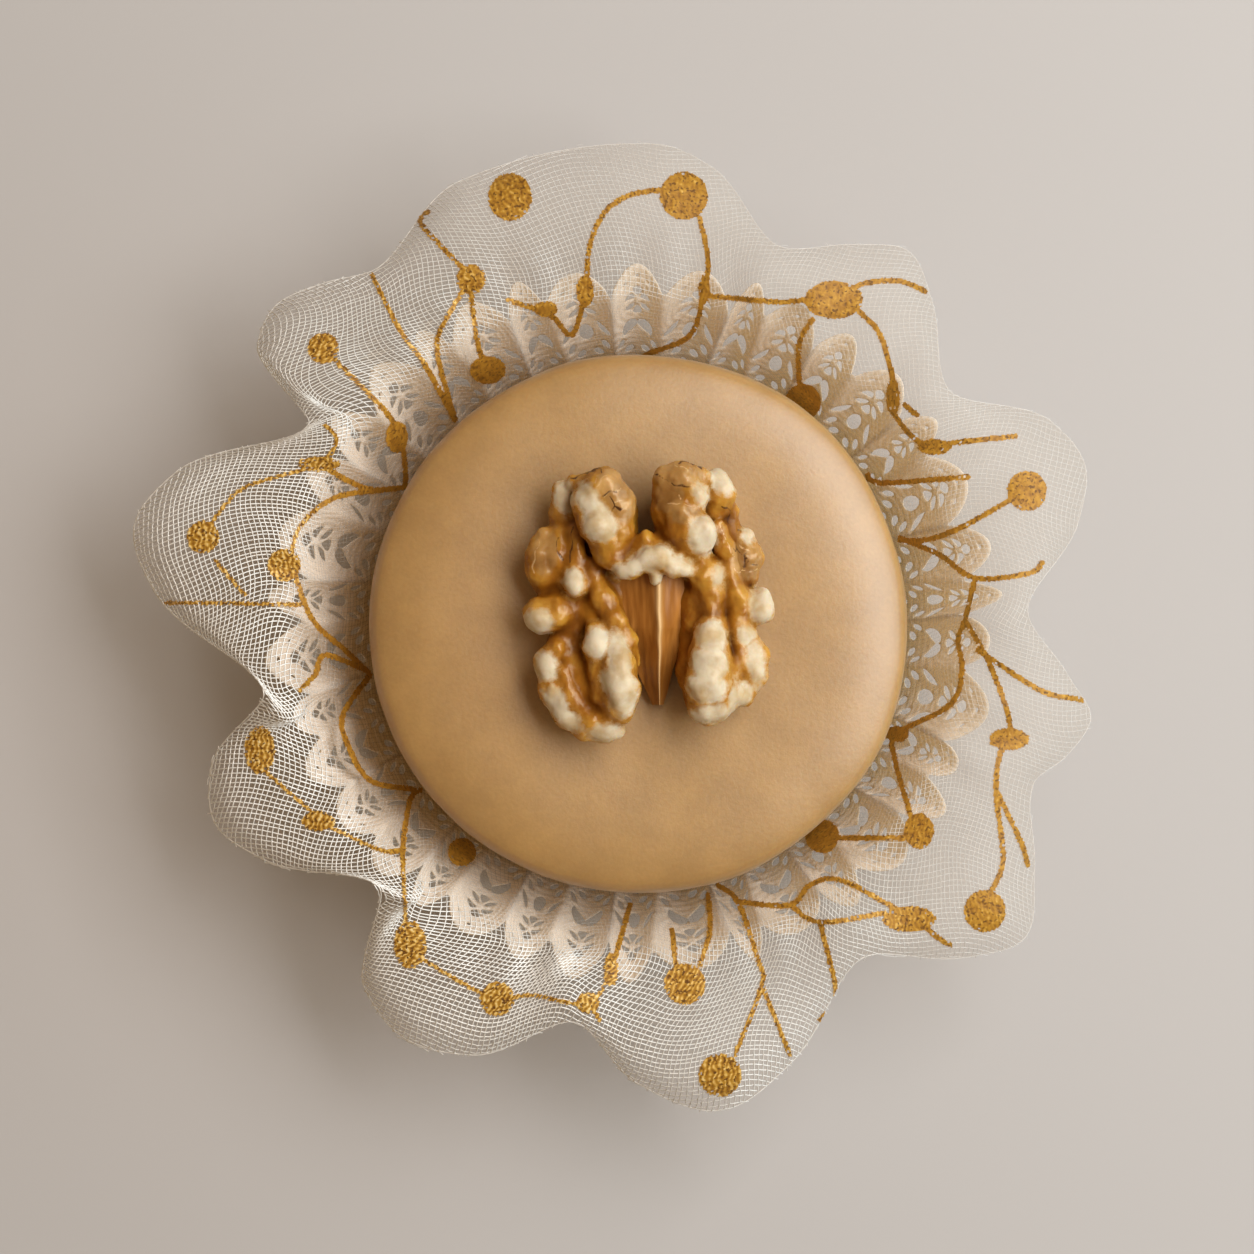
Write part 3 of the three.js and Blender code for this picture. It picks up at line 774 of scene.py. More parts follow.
# Foil print. A vine of round berries in thin gold foil, pressed onto the organza. The foil bridges
# the weave's holes, so it shows the threads under it and has a few pinholes. Its colour carries
# painted highlight on the thread crowns and painted shade in the weave's hollows, and painted shade
# where the cloth looks clear. Its places are pixels of the view from above: a berry's middle and
# half sizes, and the points that a stem passes.
BERRY_PIXELS = [
    (510, 197, 22, 24), (684, 196, 24, 24), (834, 300, 29, 19), (471, 279, 15, 15), (323, 348, 16, 16),
    (1027, 491, 20, 20), (1009, 739, 20, 11), (985, 911, 21, 21), (919, 831, 15, 18), (822, 836, 17, 17),
    (897, 734, 12, 8), (803, 402, 18, 18), (488, 370, 18, 14), (934, 447, 17, 8), (893, 397, 7, 18),
    (704, 290, 6, 14), (546, 309, 12, 8), (585, 291, 9, 16), (397, 437, 11, 16), (318, 464, 22, 8),
    (203, 537, 17, 17), (284, 565, 17, 17), (260, 750, 16, 25), (318, 821, 17, 11), (462, 852, 14, 14),
    (410, 945, 17, 25), (497, 999, 18, 18), (588, 1003, 12, 12), (611, 970, 8, 17), (685, 984, 21, 21),
    (720, 1075, 22, 22), (909, 919, 27, 13),
]
STEM_PIXELS = [
    [(428, 212), (420, 222), (462, 268)],
    [(471, 279), (447, 318), (437, 350), (455, 420)],
    [(471, 295), (478, 345), (488, 370)],
    [(372, 275), (400, 330), (425, 365), (455, 420)],
    [(323, 348), (345, 370), (395, 425), (406, 480), (400, 488)],
    [(660, 190), (630, 195), (605, 212), (590, 245), (585, 291), (572, 335), (550, 315), (508, 300)],
    [(700, 218), (708, 260), (704, 290), (690, 335), (645, 355)],
    [(710, 296), (780, 302), (810, 299)],
    [(850, 290), (866, 283), (900, 281), (925, 291)],
    [(860, 312), (880, 335), (893, 380), (895, 415), (925, 445), (960, 442), (1015, 436)],
    [(905, 405), (917, 415)],
    [(812, 320), (799, 345), (800, 395)],
    [(868, 475), (880, 483), (968, 477)],
    [(900, 540), (925, 540), (960, 528), (1010, 500)],
    [(900, 538), (940, 555), (975, 578), (1030, 573), (1042, 563)],
    [(975, 578), (965, 620), (958, 640), (962, 670), (950, 705), (897, 734), (895, 760), (912, 820)],
    [(905, 838), (838, 838)],
    [(965, 620), (990, 665), (1010, 725), (1000, 755), (996, 790), (1003, 860), (990, 895)],
    [(996, 790), (1020, 840), (1028, 865)],
    [(978, 650), (1040, 690), (1082, 700)],
    [(718, 885), (738, 902), (758, 960), (762, 985), (735, 1055)],
    [(762, 985), (790, 1055)],
    [(738, 902), (790, 905), (810, 885), (840, 880), (895, 908)],
    [(790, 905), (820, 922), (885, 913)],
    [(820, 922), (836, 995), (820, 1020)],
    [(925, 926), (938, 938), (950, 945)],
    [(708, 895), (710, 930), (700, 965)],
    [(672, 930), (676, 965)],
    [
        (630, 905), (620, 940), (611, 970), (588, 1003), (530, 995), (497, 999), (440, 970), (410, 945),
        (405, 900), (403, 850), (410, 800), (420, 790),
    ],
    [(588, 1003), (600, 1020)],
    [(415, 790), (370, 780), (348, 745), (343, 715), (370, 675)],
    [(318, 821), (380, 850), (403, 850)],
    [(260, 765), (275, 780), (310, 810)],
    [(203, 537), (225, 505), (250, 485), (318, 464), (337, 440), (325, 425)],
    [(318, 464), (365, 488), (400, 488)],
    [(400, 488), (330, 500), (293, 545), (310, 615), (345, 650), (368, 672)],
    [(165, 603), (220, 603), (300, 605)],
    [(215, 560), (245, 595)],
    [(300, 690), (315, 675), (325, 655), (365, 670)],
]
STEM_HALF_WIDTH = 0.27
FOIL_STEP = THREAD_PITCH / 4
FOIL_SEED = 5
FOIL_CURL = 0.10
FOIL_LIFT, FOIL_WAVE = 1.4, 0.6
CROWN_ALONG, CROWN_ACROSS = 0.34, 0.16
FOIL_RAGGED, FOIL_SUNK, PINHOLE_HALF = 0.05, 0.17, 0.2
BERRY_HOLES, STEM_HOLES = (0.36, 0.32), (0.30, 0.28)
OUTSIDE = -9.0


def flowing(points, step=0.5):
    """A smooth path through points: a Catmull-Rom curve sampled about every step mm."""
    p = np.array(points, float)
    p = np.vstack([2 * p[0] - p[1], p, 2 * p[-1] - p[-2]])
    out = []
    for a, b, c, d in zip(p[:-3], p[1:-2], p[2:-1], p[3:]):
        t = np.linspace(0, 1, max(2, int(np.linalg.norm(c - b) / step)), endpoint=False)[:, None]
        curve = 2 * b + (c - a) * t + (2 * a - 5 * b + 4 * c - d) * t**2
        out.append(0.5 * (curve + (3 * b - a - 3 * c + d) * t**3))
    return np.vstack([*out, p[-2:-1]])


def from_pixels(places):
    """Plan places in mm, as seen, of pixels in the view from above."""
    return (np.array(places, float) - SIGHT) / (PIXELS_PER_MM, -PIXELS_PER_MM)


def off_segment(points, a, b):
    """Distance of places from the straight link of a and b, and their share of the way on it."""
    edge = b - a
    t = np.clip((points - a) @ edge / (edge @ edge), 0, 1)
    return np.linalg.norm(points - a - t[..., None] * edge, axis=-1), t


def printed(plan):
    """How far each plan place lies inside the print, in mm: above 0 is foil."""
    best = np.full(len(plan), OUTSIDE)
    for berry in BERRY_PIXELS:
        x, y = from_pixels(berry[:2])
        a, b = np.array(berry[2:]) / PIXELS_PER_MM
        near = np.flatnonzero((abs(plan[:, 0] - x) < a + 1) & (abs(plan[:, 1] - y) < b + 1))
        reach = np.hypot((plan[near, 0] - x) / a, (plan[near, 1] - y) / b)
        best[near] = np.maximum(best[near], (1 - reach) * min(a, b))
    for stem in STEM_PIXELS:
        path = flowing(from_pixels(stem))
        low, high = path.min(axis=0) - 1, path.max(axis=0) + 1
        near = np.flatnonzero(((plan > low) & (plan < high)).all(axis=1))
        for a, b in zip(path[:-1], path[1:]):
            away = off_segment(plan[near], a, b)[0]
            best[near] = np.maximum(best[near], STEM_HALF_WIDTH - away)
    return best


def foil():
    """The foil as a fine sheet of quads just above the threads, kept where the print lies.

    Its height waves with the weave, and pinholes are drawn where the weave's holes are."""
    draw = np.random.default_rng(FOIL_SEED)
    n = int((flat_edge.max() + DRIFT) / FOIL_STEP)
    line = np.arange(-n, n + 1) * FOIL_STEP
    x, y = np.meshgrid(line, line)
    flat_x, flat_y = drifted(x, y)
    angle, radius = np.arctan2(flat_y, flat_x), np.hypot(flat_x, flat_y)
    points, normals = on_cloth(flat_x, flat_y)
    clear = clearness(points)
    curl = FOIL_CURL * (np.sin(4.1 * y + 1.3 * x) + np.sin(2.6 * x - 3.3 * y))
    wave = 2 * math.pi / THREAD_PITCH
    crown = CROWN_ALONG * np.cos(wave * (x + curl)) + CROWN_ACROSS * np.cos(wave * (y - curl))
    crown = 0.5 + crown * (1 - 0.85 * clear)
    points = points + normals * (THREAD_RADIUS * (FOIL_LIFT + FOIL_WAVE * crown))[..., None]
    on_petal = (radius < flat_limit(angle)) & (radius > inner_radius[BOTTOM_ROWS])
    depth = np.full(x.shape, OUTSIDE)
    depth[on_petal] = printed(as_seen(points[on_petal]))
    depth += FOIL_RAGGED * draw.standard_normal(depth.shape)
    depth -= FOIL_SUNK * (1 - crown) * (1 - clear) ** 2
    at = np.stack([x, y]) / THREAD_PITCH
    hole = np.floor(at).astype(int)
    hole -= hole.min(axis=(1, 2), keepdims=True)
    chance = draw.uniform(size=tuple(hole.max(axis=(1, 2)) + 1))[tuple(hole)]
    middle = (np.abs(at % 1 - 0.5) < PINHOLE_HALF).all(axis=0)
    in_berry, in_stem = (most - less * clear for most, less in (BERRY_HOLES, STEM_HOLES))
    open_share = np.where(depth > STEM_HALF_WIDTH, in_berry, in_stem)
    depth[(chance < open_share) & middle] = -1
    keep = (depth[:-1, :-1] + depth[1:, :-1] + depth[:-1, 1:] + depth[1:, 1:]) / 4 > 0
    rows, cols = np.nonzero(keep)
    width = x.shape[1]
    first = rows * width + cols
    faces = np.stack([first, first + 1, first + width + 1, first + width], axis=1)
    used, faces = np.unique(faces, return_inverse=True)
    # Painted light for the foil's colour: higher on the thread crowns as painted highlight, lower in the
    # weave's hollows as painted shade, and lower where the cloth looks clear, as painted shade over the
    # case and on the lit right.
    painted_foil_light = crown + 0.07 - 0.19 * clear
    return points.reshape(-1, 3)[used], faces.reshape(-1, 4), painted_foil_light.ravel()[used]


def sum_of(tree, first, second, factor=1.0):
    """first plus factor times second."""
    return worked(tree, "MULTIPLY_ADD", second, factor, first)


def blend(tree, share, first, second):
    """A mix of two colours or colour sockets, all of it the second at a share of 1."""
    first, second = (
        colour if isinstance(colour, bpy.types.NodeSocket) else (*colour, 1.0)
        for colour in (first, second)
    )
    values = {"Factor": share, 6: first, 7: second}
    return node(tree, "ShaderNodeMix", values, data_type="RGBA").outputs[2]


foil_look, tree = material("gold_foil")
place = on_object(tree)
crackle, crease = grain(tree, place, 1500.0, 3.0, strength=0.5, distance=0.0002)
# Painted light in the foil's colour: the crown attribute is high on thread crowns and low in the weave's
# hollows, so the ramp below paints highlight on the crowns and shade in the hollows; the crackle adds
# real variation in tone.
height = worked(tree, "MULTIPLY", sum_of(tree, attribute(tree, "crown"), crackle), 0.5)
crackle_and_painted_weave_light = ramp(tree, height, [
    (0.27, (0.11, 0.040, 0.005)), (0.40, (0.33, 0.145, 0.015)), (0.54, (0.51, 0.255, 0.026)),
    (0.68, (0.90, 0.58, 0.16)), (0.82, (1.00, 0.82, 0.44)),
])
chips = mapped(tree, grain(tree, place, 3200.0, 1.0)[0], 0.36, 0.42)
gold = principled(
    tree,
    {
        "Base Color": blend(tree, chips, (0.10, 0.04, 0.008), crackle_and_painted_weave_light), "Metallic": 0.08,
        "Roughness": 0.5, "Specular IOR Level": 0.3, "Normal": crease,
    },
)
glow = node(tree, "ShaderNodeBsdfTranslucent", {"Color": (0.85, 0.47, 0.08, 1.0)}).outputs[0]
surface(tree, mixed(tree, 0.25, gold, glow))

foil_points, foil_faces, foil_painted_light = foil()
gold_print = piece("gold_foil_print", foil_points, foil_faces, foil_look)
give(gold_print, "crown", foil_painted_light)
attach(gold_print, "root")


# Cookie. A thick disc of almond paste under a smooth tan cover, nearly flat on top, with a broad
# round shoulder. The cover is rolled thin and smoothed by hand, so it is a little uneven.
COOKIE_RADIUS, COOKIE_BOTTOM, COOKIE_TOP = 27.0, 1.2, 21.2
SHOULDER, UNDERSIDE = (150.0, 3.2), (4.0, 2.2)
DOME_DROP, DOME_FROM, DOME_POWER = 2.0, 10.0, 5
COVER_INSET = 0.16
COVER_DIPS = ((0.10, 22.0, 3), (0.03, 7.0, 4))
COOKIE_COLUMNS, COOKIE_ROWS = 288, 104


def soft_noise(points, size, seed, count=24):
    """Smooth uneven relief from -1 to 1: a mean of sines with seeded directions and phases."""
    draw = np.random.default_rng(seed)
    total = np.zeros(points.shape[:-1])
    for _ in range(count):
        direction = unit(draw.standard_normal(3))
        wave = 2 * math.pi / (size * draw.uniform(0.7, 1.6))
        total += np.sin(points @ direction * wave + draw.uniform(0, 2 * math.pi))
    return total / math.sqrt(count)


def cookie_surface():
    """The cookie as a closed grid of rings, evenly spaced along its profile from underside to top.

    The profile is a superellipse quarter above the waist and one below it. The top is domed: it
    drops with a power of the way out from DOME_FROM."""
    out = np.linspace(1, 0, 4000)
    (r_down, z_down), (r_up, z_up) = (
        (COOKIE_RADIUS * out, (end - COOKIE_WAIST) * (1 - out ** powers[0]) ** (1 / powers[1]))
        for end, powers in ((COOKIE_BOTTOM, UNDERSIDE), (COOKIE_TOP, SHOULDER))
    )
    share = z_up / (COOKIE_TOP - COOKIE_WAIST)
    way = ((r_up - DOME_FROM) / (COOKIE_RADIUS - DOME_FROM)).clip(0)
    z_up = z_up - share * DOME_DROP * way**DOME_POWER
    radius = np.append(r_down[::-1], r_up[1:])
    height = np.append(z_down[::-1], z_up[1:]) + COOKIE_WAIST
    walked = np.append(0, np.cumsum(np.hypot(np.diff(radius), np.diff(height))))
    even = np.linspace(0, walked[-1], COOKIE_ROWS)
    radius, height = np.interp(even, walked, radius), np.interp(even, walked, height)
    angle = np.linspace(0, 2 * math.pi, COOKIE_COLUMNS, endpoint=False)
    x, y = radius[1:-1, None] * np.cos(angle), radius[1:-1, None] * np.sin(angle)
    ring = np.stack([x, y, np.repeat(height[1:-1, None], COOKIE_COLUMNS, axis=1)], axis=-1)
    points = np.vstack([ring.reshape(-1, 3), [[0, 0, COOKIE_BOTTOM], [0, 0, COOKIE_TOP]]])
    out = unit(points - [0, 0, COOKIE_WAIST])
    dip = sum(height * soft_noise(points, size, seed) for height, size, seed in COVER_DIPS)
    return points + out * (dip - COVER_INSET)[:, None], lathe_faces(len(radius) - 2, COOKIE_COLUMNS)


def lathe_faces(rows, columns):
    """Triangles of a closed grid of rings, whose first and last poles come after them."""
    quads = ring_quads(rows, columns)
    k = np.arange(columns)
    after = (k + 1) % columns
    first = np.full(columns, rows * columns)
    to_last = (rows - 1) * columns
    caps = [
        np.stack([first, after, k], axis=1),
        np.stack([first + 1, to_last + k, to_last + after], axis=1),
    ]
    return np.vstack([quads[:, [0, 1, 2]], quads[:, [0, 2, 3]], *caps])


cookie_look, tree = material("cookie_cover")
place = on_object(tree)
mottle = grain(tree, place, 220.0, 5.0, 0.6)[0]
speckle, relief = grain(tree, place, 2600.0, 3.0, strength=0.12, distance=0.0002)
speckle = sum_of(tree, mottle, speckle, 0.5)
tint = ramp(tree, speckle, [(0.55, (0.345, 0.184, 0.052)), (0.95, (0.415, 0.227, 0.066))])
cover = principled(
    tree,
    {
        "Base Color": tint, "Roughness": 0.46, "Specular IOR Level": 1.0, "Normal": relief,
        "Sheen Weight": 0.12, "Sheen Roughness": 0.45, "Sheen Tint": (1.0, 0.86, 0.64, 1.0),
        "Subsurface Weight": 0.5, "Subsurface Radius": (1.0, 0.55, 0.25), "Subsurface Scale": 0.003,
    },
)
surface(tree, cover)

cookie = piece("covered_cookie", *cookie_surface(), cookie_look)
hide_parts("cookie")
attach(cookie, "root")


# Walnut. Half a kernel with its inner face up, set on the cookie's top. It is lumpy, with a thin
# glossy brown skin that is broken where the pale flesh shows. Lobes are chains of balls: x, y,
# height above the cookie's top and radius, in mm.
LOBES = [
    [
        (-3.2, 13.4, 6.3, 1.9), (-1.9, 11.6, 6.5, 1.4), (-2.0, 9.2, 6.3, 1.4),
        (-2.6, 7.0, 5.9, 1.5), (-1.6, 5.9, 5.5, 1.1),
    ],
    [(-3.9, 13.0, 6.0, 1.7), (-4.9, 12.0, 6.2, 1.5), (-3.9, 9.7, 6.6, 1.7), (-2.6, 7.6, 5.9, 1.5)],
    [(-6.2, 13.9, 4.8, 0.8), (-4.4, 13.6, 5.4, 1.3)],
    [(-7.3, 12.9, 3.4, 1.2), (-7.5, 10.6, 3.2, 1.2), (-6.0, 9.6, 3.6, 1.3)],
    [(-9.0, 8.6, 3.6, 1.1), (-9.6, 6.9, 3.6, 1.3), (-9.5, 5.2, 3.4, 1.5), (-9.0, 3.8, 3.0, 1.3)],
    [(-7.7, 9.0, 4.3, 0.7), (-7.9, 6.6, 4.4, 0.8), (-7.6, 4.6, 4.0, 0.8)],
    [(-6.2, 8.9, 4.5, 0.8), (-6.1, 6.2, 4.5, 0.9), (-6.1, 3.9, 5.1, 1.25)],
    [(-9.4, 0.9, 4.0, 1.9), (-8.0, 1.2, 4.1, 1.6), (-6.4, 1.6, 3.6, 1.2)],
    [(-8.9, -3.6, 3.6, 1.3), (-7.9, -2.4, 3.9, 1.1), (-6.6, -1.6, 3.2, 1.1)],
    [
        (-8.9, -3.9, 3.5, 1.3), (-8.2, -6.7, 3.6, 1.35), (-6.9, -8.8, 3.6, 1.35),
        (-5.1, -10.1, 3.7, 1.3), (-3.1, -10.3, 3.9, 1.25), (-2.2, -10.3, 3.8, 0.9),
    ],
    [(-7.4, -4.8, 4.3, 0.8), (-6.8, -7.2, 4.5, 0.8), (-4.8, -9.3, 4.6, 0.95), (-3.0, -9.2, 4.6, 1.1)],
    [(-4.1, -0.9, 5.5, 1.05), (-4.0, -2.2, 5.6, 1.25), (-3.6, -4.6, 5.0, 1.2), (-3.3, -7.0, 4.9, 1.4)],
    [(-2.3, -1.9, 5.6, 1.1), (-1.9, -4.0, 6.0, 1.4), (-1.6, -6.2, 6.1, 1.65), (-1.7, -8.1, 5.4, 1.55)],
    [
        (-4.5, 5.6, 4.6, 0.9), (-3.5, 2.5, 5.1, 1.05), (-2.2, 0.2, 5.3, 1.0),
        (-1.0, -1.6, 5.0, 0.85), (-0.5, -3.6, 4.4, 0.7),
    ],
    [(-4.9, 3.0, 3.6, 1.2), (-4.4, 0.6, 4.0, 1.2)],
    [
        (-1.4, 5.2, 6.6, 0.8), (-0.3, 5.5, 6.9, 0.8), (1.0, 6.4, 7.2, 0.95), (2.2, 6.5, 7.3, 0.95),
        (3.5, 5.7, 7.1, 0.85), (4.6, 5.4, 6.9, 0.75),
    ],
    [(1.7, 6.0, 6.9, 0.7), (1.7, 4.3, 6.5, 0.5)],
    [(0.8, 7.2, 6.2, 1.2), (0.8, 8.2, 6.5, 0.7), (0.7, 9.0, 6.7, 0.25)],
    [(-2.0, 7.2, 5.4, 1.2), (0.8, 7.2, 5.6, 1.3), (3.9, 7.5, 5.8, 1.5)],
    [(2.9, 14.1, 6.0, 1.45), (4.5, 14.2, 6.4, 1.5), (6.0, 14.3, 5.9, 1.15)],
    [(2.8, 12.7, 5.6, 1.5), (3.0, 10.8, 5.2, 1.5), (3.6, 8.9, 5.2, 1.6)],
    [(5.6, 12.5, 6.7, 1.25), (4.5, 12.2, 6.2, 1.3)],
    [(4.5, 10.6, 6.4, 1.9), (4.8, 9.2, 6.3, 1.9), (4.6, 7.4, 5.4, 1.5)],
    [(6.3, 9.1, 6.9, 1.35), (6.0, 7.9, 6.5, 1.2)],
    [(7.8, 14.0, 4.7, 1.2), (8.1, 12.6, 4.9, 1.25), (7.7, 11.4, 4.5, 1.05)],
    [(9.0, 11.2, 3.5, 0.85), (8.8, 9.8, 3.4, 0.8)],
    [
        (8.0, 9.4, 5.1, 0.7), (8.6, 7.4, 5.2, 0.8), (9.1, 5.1, 5.0, 0.8), (9.8, 2.4, 4.5, 1.3),
        (9.8, -0.4, 4.4, 1.15), (10.2, -3.5, 4.4, 1.1), (9.8, -5.8, 4.2, 0.95),
    ],
    [(10.5, 8.5, 3.2, 0.95), (10.9, 6.6, 3.4, 1.35), (10.8, 5.0, 3.3, 1.25)],
    [(12.1, 2.6, 4.1, 1.0), (12.0, 1.3, 4.1, 1.25), (11.0, 1.6, 3.8, 1.4)],
    [(6.0, 6.4, 5.2, 1.2), (6.6, 4.8, 5.6, 1.5), (7.2, 2.5, 5.3, 1.1), (7.2, 0.2, 5.2, 1.2)],
    [(5.8, 2.6, 4.6, 1.1), (5.7, 0.4, 4.4, 1.2)],
    [(7.2, -1.0, 5.7, 1.5), (7.0, -3.3, 6.1, 1.85), (6.9, -5.6, 6.0, 2.1), (7.0, -7.8, 5.1, 2.05)],
    [(8.7, -4.4, 5.0, 1.1), (9.0, -7.0, 4.6, 1.4)],
    [(10.7, -1.2, 4.1, 1.0), (11.5, -3.1, 4.0, 1.2), (11.5, -4.8, 3.8, 1.2), (10.4, -7.0, 3.6, 1.15)],
    [(-6.2, 9.0, 1.9, 2.2), (-6.6, 3.0, 1.9, 2.6), (-6.2, -4.0, 1.9, 2.5), (-4.6, -8.0, 1.9, 2.2)],
    [(-2.6, 11.0, 2.6, 2.6), (-2.8, 6.0, 2.2, 2.6), (-3.0, 0.0, 1.7, 2.4), (-3.2, -6.0, 2.2, 2.4)],
    [
        (4.6, 12.6, 2.4, 2.5), (7.2, 10.0, 1.9, 2.4), (9.0, 5.0, 1.9, 2.5), (9.2, -2.0, 1.9, 2.5),
        (8.6, -6.4, 1.9, 2.3),
    ],
    [(5.0, 8.0, 2.4, 2.6), (5.6, 2.0, 2.0, 2.5), (6.4, -4.0, 2.3, 2.6), (7.0, -6.6, 2.3, 2.6)],
    [(-2.2, 4.0, 1.6, 2.2), (1.8, 5.0, 2.4, 2.6), (6.0, 4.0, 1.6, 2.2)],
    [(-6.0, -3.4, 3.1, 1.6), (-5.0, -6.2, 3.3, 1.6), (-3.9, -8.6, 3.4, 1.4)],
    [(-6.4, 6.0, 3.0, 1.5), (-5.4, 1.6, 2.8, 1.5), (-6.4, -0.4, 2.8, 1.5)],
    [(9.2, -1.4, 3.3, 1.5), (9.4, -4.4, 3.3, 1.5), (8.8, -7.0, 3.3, 1.4)],
    [(8.6, 9.0, 3.2, 1.4), (9.2, 5.8, 3.2, 1.4), (8.4, 2.2, 3.4, 1.5)],
]
# Ellipses in plan, as x, y, half sizes in mm and turn: where the skin is off, and paler lobes.
FLESH = [
    (-5.0, 12.3, 1.1, 1.5, 0.3), (-4.3, 11.0, 1.2, 1.2, 0.0), (-3.7, 9.6, 1.6, 1.6, 0.0),
    (-7.3, 12.5, 0.9, 1.5, 0.0), (-1.5, 5.2, 0.9, 0.75, 0.3), (-0.3, 5.7, 0.9, 0.8, 0.3),
    (1.0, 6.4, 1.2, 1.15, 0.0), (2.2, 6.6, 1.2, 1.1, 0.0), (3.6, 5.8, 1.15, 0.9, -0.4),
    (4.6, 5.5, 0.8, 0.75, 0.0), (1.7, 4.5, 0.6, 0.75, 0.0), (-6.3, 4.1, 0.95, 1.2, 0.0),
    (-9.9, 0.2, 1.5, 1.25, 0.2), (-9.1, -4.2, 1.15, 1.4, 0.2), (-8.1, -7.7, 1.0, 1.7, 0.5),
    (-6.9, -9.4, 1.4, 0.85, -0.6), (-3.1, -10.8, 1.8, 0.9, 0.15), (-4.0, -1.8, 1.15, 1.6, 0.0),
    (-1.9, -3.4, 1.05, 2.6, 0.15), (-1.5, -6.8, 1.35, 2.2, 0.0), (-2.6, -5.6, 1.1, 1.2, 0.0),
    (6.1, 12.7, 0.75, 1.1, 0.2), (8.2, 14.1, 1.0, 1.5, 0.5), (6.3, 8.7, 1.35, 1.8, 0.0),
    (7.9, 4.7, 0.6, 0.9, 0.0), (12.2, 1.8, 1.2, 1.8, 0.0), (7.2, -1.4, 1.4, 1.7, 0.0),
    (7.0, -4.0, 1.75, 1.9, 0.0), (6.8, -6.2, 1.85, 1.5, 0.0), (7.2, -8.9, 2.0, 0.9, 0.1),
    (9.3, -7.6, 0.5, 1.7, -0.2), (10.6, -1.1, 0.9, 0.9, 0.0), (11.6, -3.9, 0.85, 2.2, 0.1),
    (10.3, -7.0, 0.75, 1.2, -0.4), (10.9, 8.6, 0.6, 0.7, 0.0),
]
CAPS = [
    (-2.2, 12.6, 2.0, 2.9, 0.2), (4.0, 14.6, 2.7, 1.3, 0.0), (3.0, 12.4, 1.5, 1.6, 0.0),
    (10.8, 6.4, 1.5, 2.2, 0.2), (-9.2, 7.0, 1.3, 2.4, 0.0), (4.6, 10.6, 1.6, 0.9, 0.0),
]
CRACKS = [
    [(-6.8, 14.2), (-6.0, 14.6), (-4.8, 15.0), (-4.2, 15.2), (-3.5, 15.0)],
    [(-1.3, 14.2), (-0.9, 13.9)],
    [(-2.0, 12.9), (-2.9, 12.6), (-3.5, 12.5)], [(-2.1, 11.5), (-1.4, 11.1)],
    [(-2.6, 12.3), (-2.2, 11.5), (-2.7, 10.9)],
    [(1.5, 14.4), (2.7, 14.0), (3.5, 13.4), (4.3, 13.5), (5.2, 13.9)],
    [(4.2, 15.8), (5.5, 15.8), (6.5, 15.4)],
    [(9.3, 7.6), (10.3, 6.8), (11.9, 5.6)], [(9.9, 9.3), (10.7, 8.6), (11.5, 8.1)],
    [(10.6, 7.0), (10.2, 5.6)],
    [(-7.9, 8.6), (-8.0, 7.4), (-7.4, 6.2)], [(-6.4, 9.3), (-6.8, 7.8), (-6.8, 6.2)],
    [(8.4, 11.6), (8.9, 10.2)],
]
VEINS = [
    [(-4.1, 13.2), (-3.1, 14.6)], [(-4.2, 13.7), (-3.8, 14.4)],
    [(-3.3, 12.4), (-2.1, 12.9), (-1.5, 13.4)],
    [(3.5, 15.7), (4.7, 15.2)], [(4.1, 12.7), (4.3, 12.2)], [(2.9, 11.5), (4.3, 11.8), (6.4, 11.3)],
    [(9.7, 5.4), (10.7, 5.1), (11.7, 5.3)], [(8.0, 10.0), (8.6, 8.4), (9.2, 6.6)],
    [(-9.9, 8.4), (-10.4, 6.6), (-10.3, 5.0)],
    [(10.0, 7.6), (10.9, 7.3)], [(-2.4, 11.9), (-1.6, 12.1)], [(6.0, 11.9), (6.6, 12.6)],
]
VOXEL = 0.17
BLEND = 0.75
STROKE_BEND, FLESH_SWELL = 0.2, 0.10
BROAD_BUMP, FINE_BUMPS = (0.10, 2.6, 21), ((0.045, 1.1, 22), (0.022, 0.5, 23))
SWELL, SWELL_ABOVE = 1.07, 4.3
WALNUT_REST = COOKIE_TOP - 0.2
WALNUT_LOW, WALNUT_HIGH = (-12.4, -13.0, -1.2), (14.4, 17.0, 9.6)


def lobe_field():
    """Distance to the joined lobes on a grid in mm, below 0 inside.

    A link between two balls is a capsule whose radius changes evenly; links blend where they meet
    by a quadratic smooth minimum."""
    low = np.array(WALNUT_LOW)
    count = np.ceil((np.array(WALNUT_HIGH) - low) / VOXEL).astype(int) + 1
    field = np.full(count, 2.0)
    for lobe in LOBES:
        for first, last in zip(lobe[:-1], lobe[1:]):
            a, b = np.array(first[:3]), np.array(last[:3])
            size, size_on = (r * (SWELL if z > SWELL_ABOVE else 1) for x, y, z, r in (first, last))
            reach = max(size, size_on) + 1.0
            start = np.floor((np.minimum(a, b) - reach - low) / VOXEL).astype(int).clip(0, count)
            stop = np.ceil((np.maximum(a, b) + reach - low) / VOXEL + 1).astype(int).clip(0, count)
            part = tuple(slice(s, e) for s, e in zip(start, stop))
            axes = [low[i] + VOXEL * np.arange(start[i], stop[i]) for i in range(3)]
            at = np.stack(np.meshgrid(*axes, indexing="ij"), axis=-1)
            away, t = off_segment(at, a, b)
            distance = away - (size + t * (size_on - size))
            old = field[part]
            h = np.clip(0.5 + 0.5 * (old - distance) / BLEND, 0, 1)
            field[part] = old * (1 - h) + distance * h - BLEND * h * (1 - h)
    heights = low[2] + VOXEL * np.arange(count[2])
    return np.maximum(field, (0.0 - heights)[None, None, :])


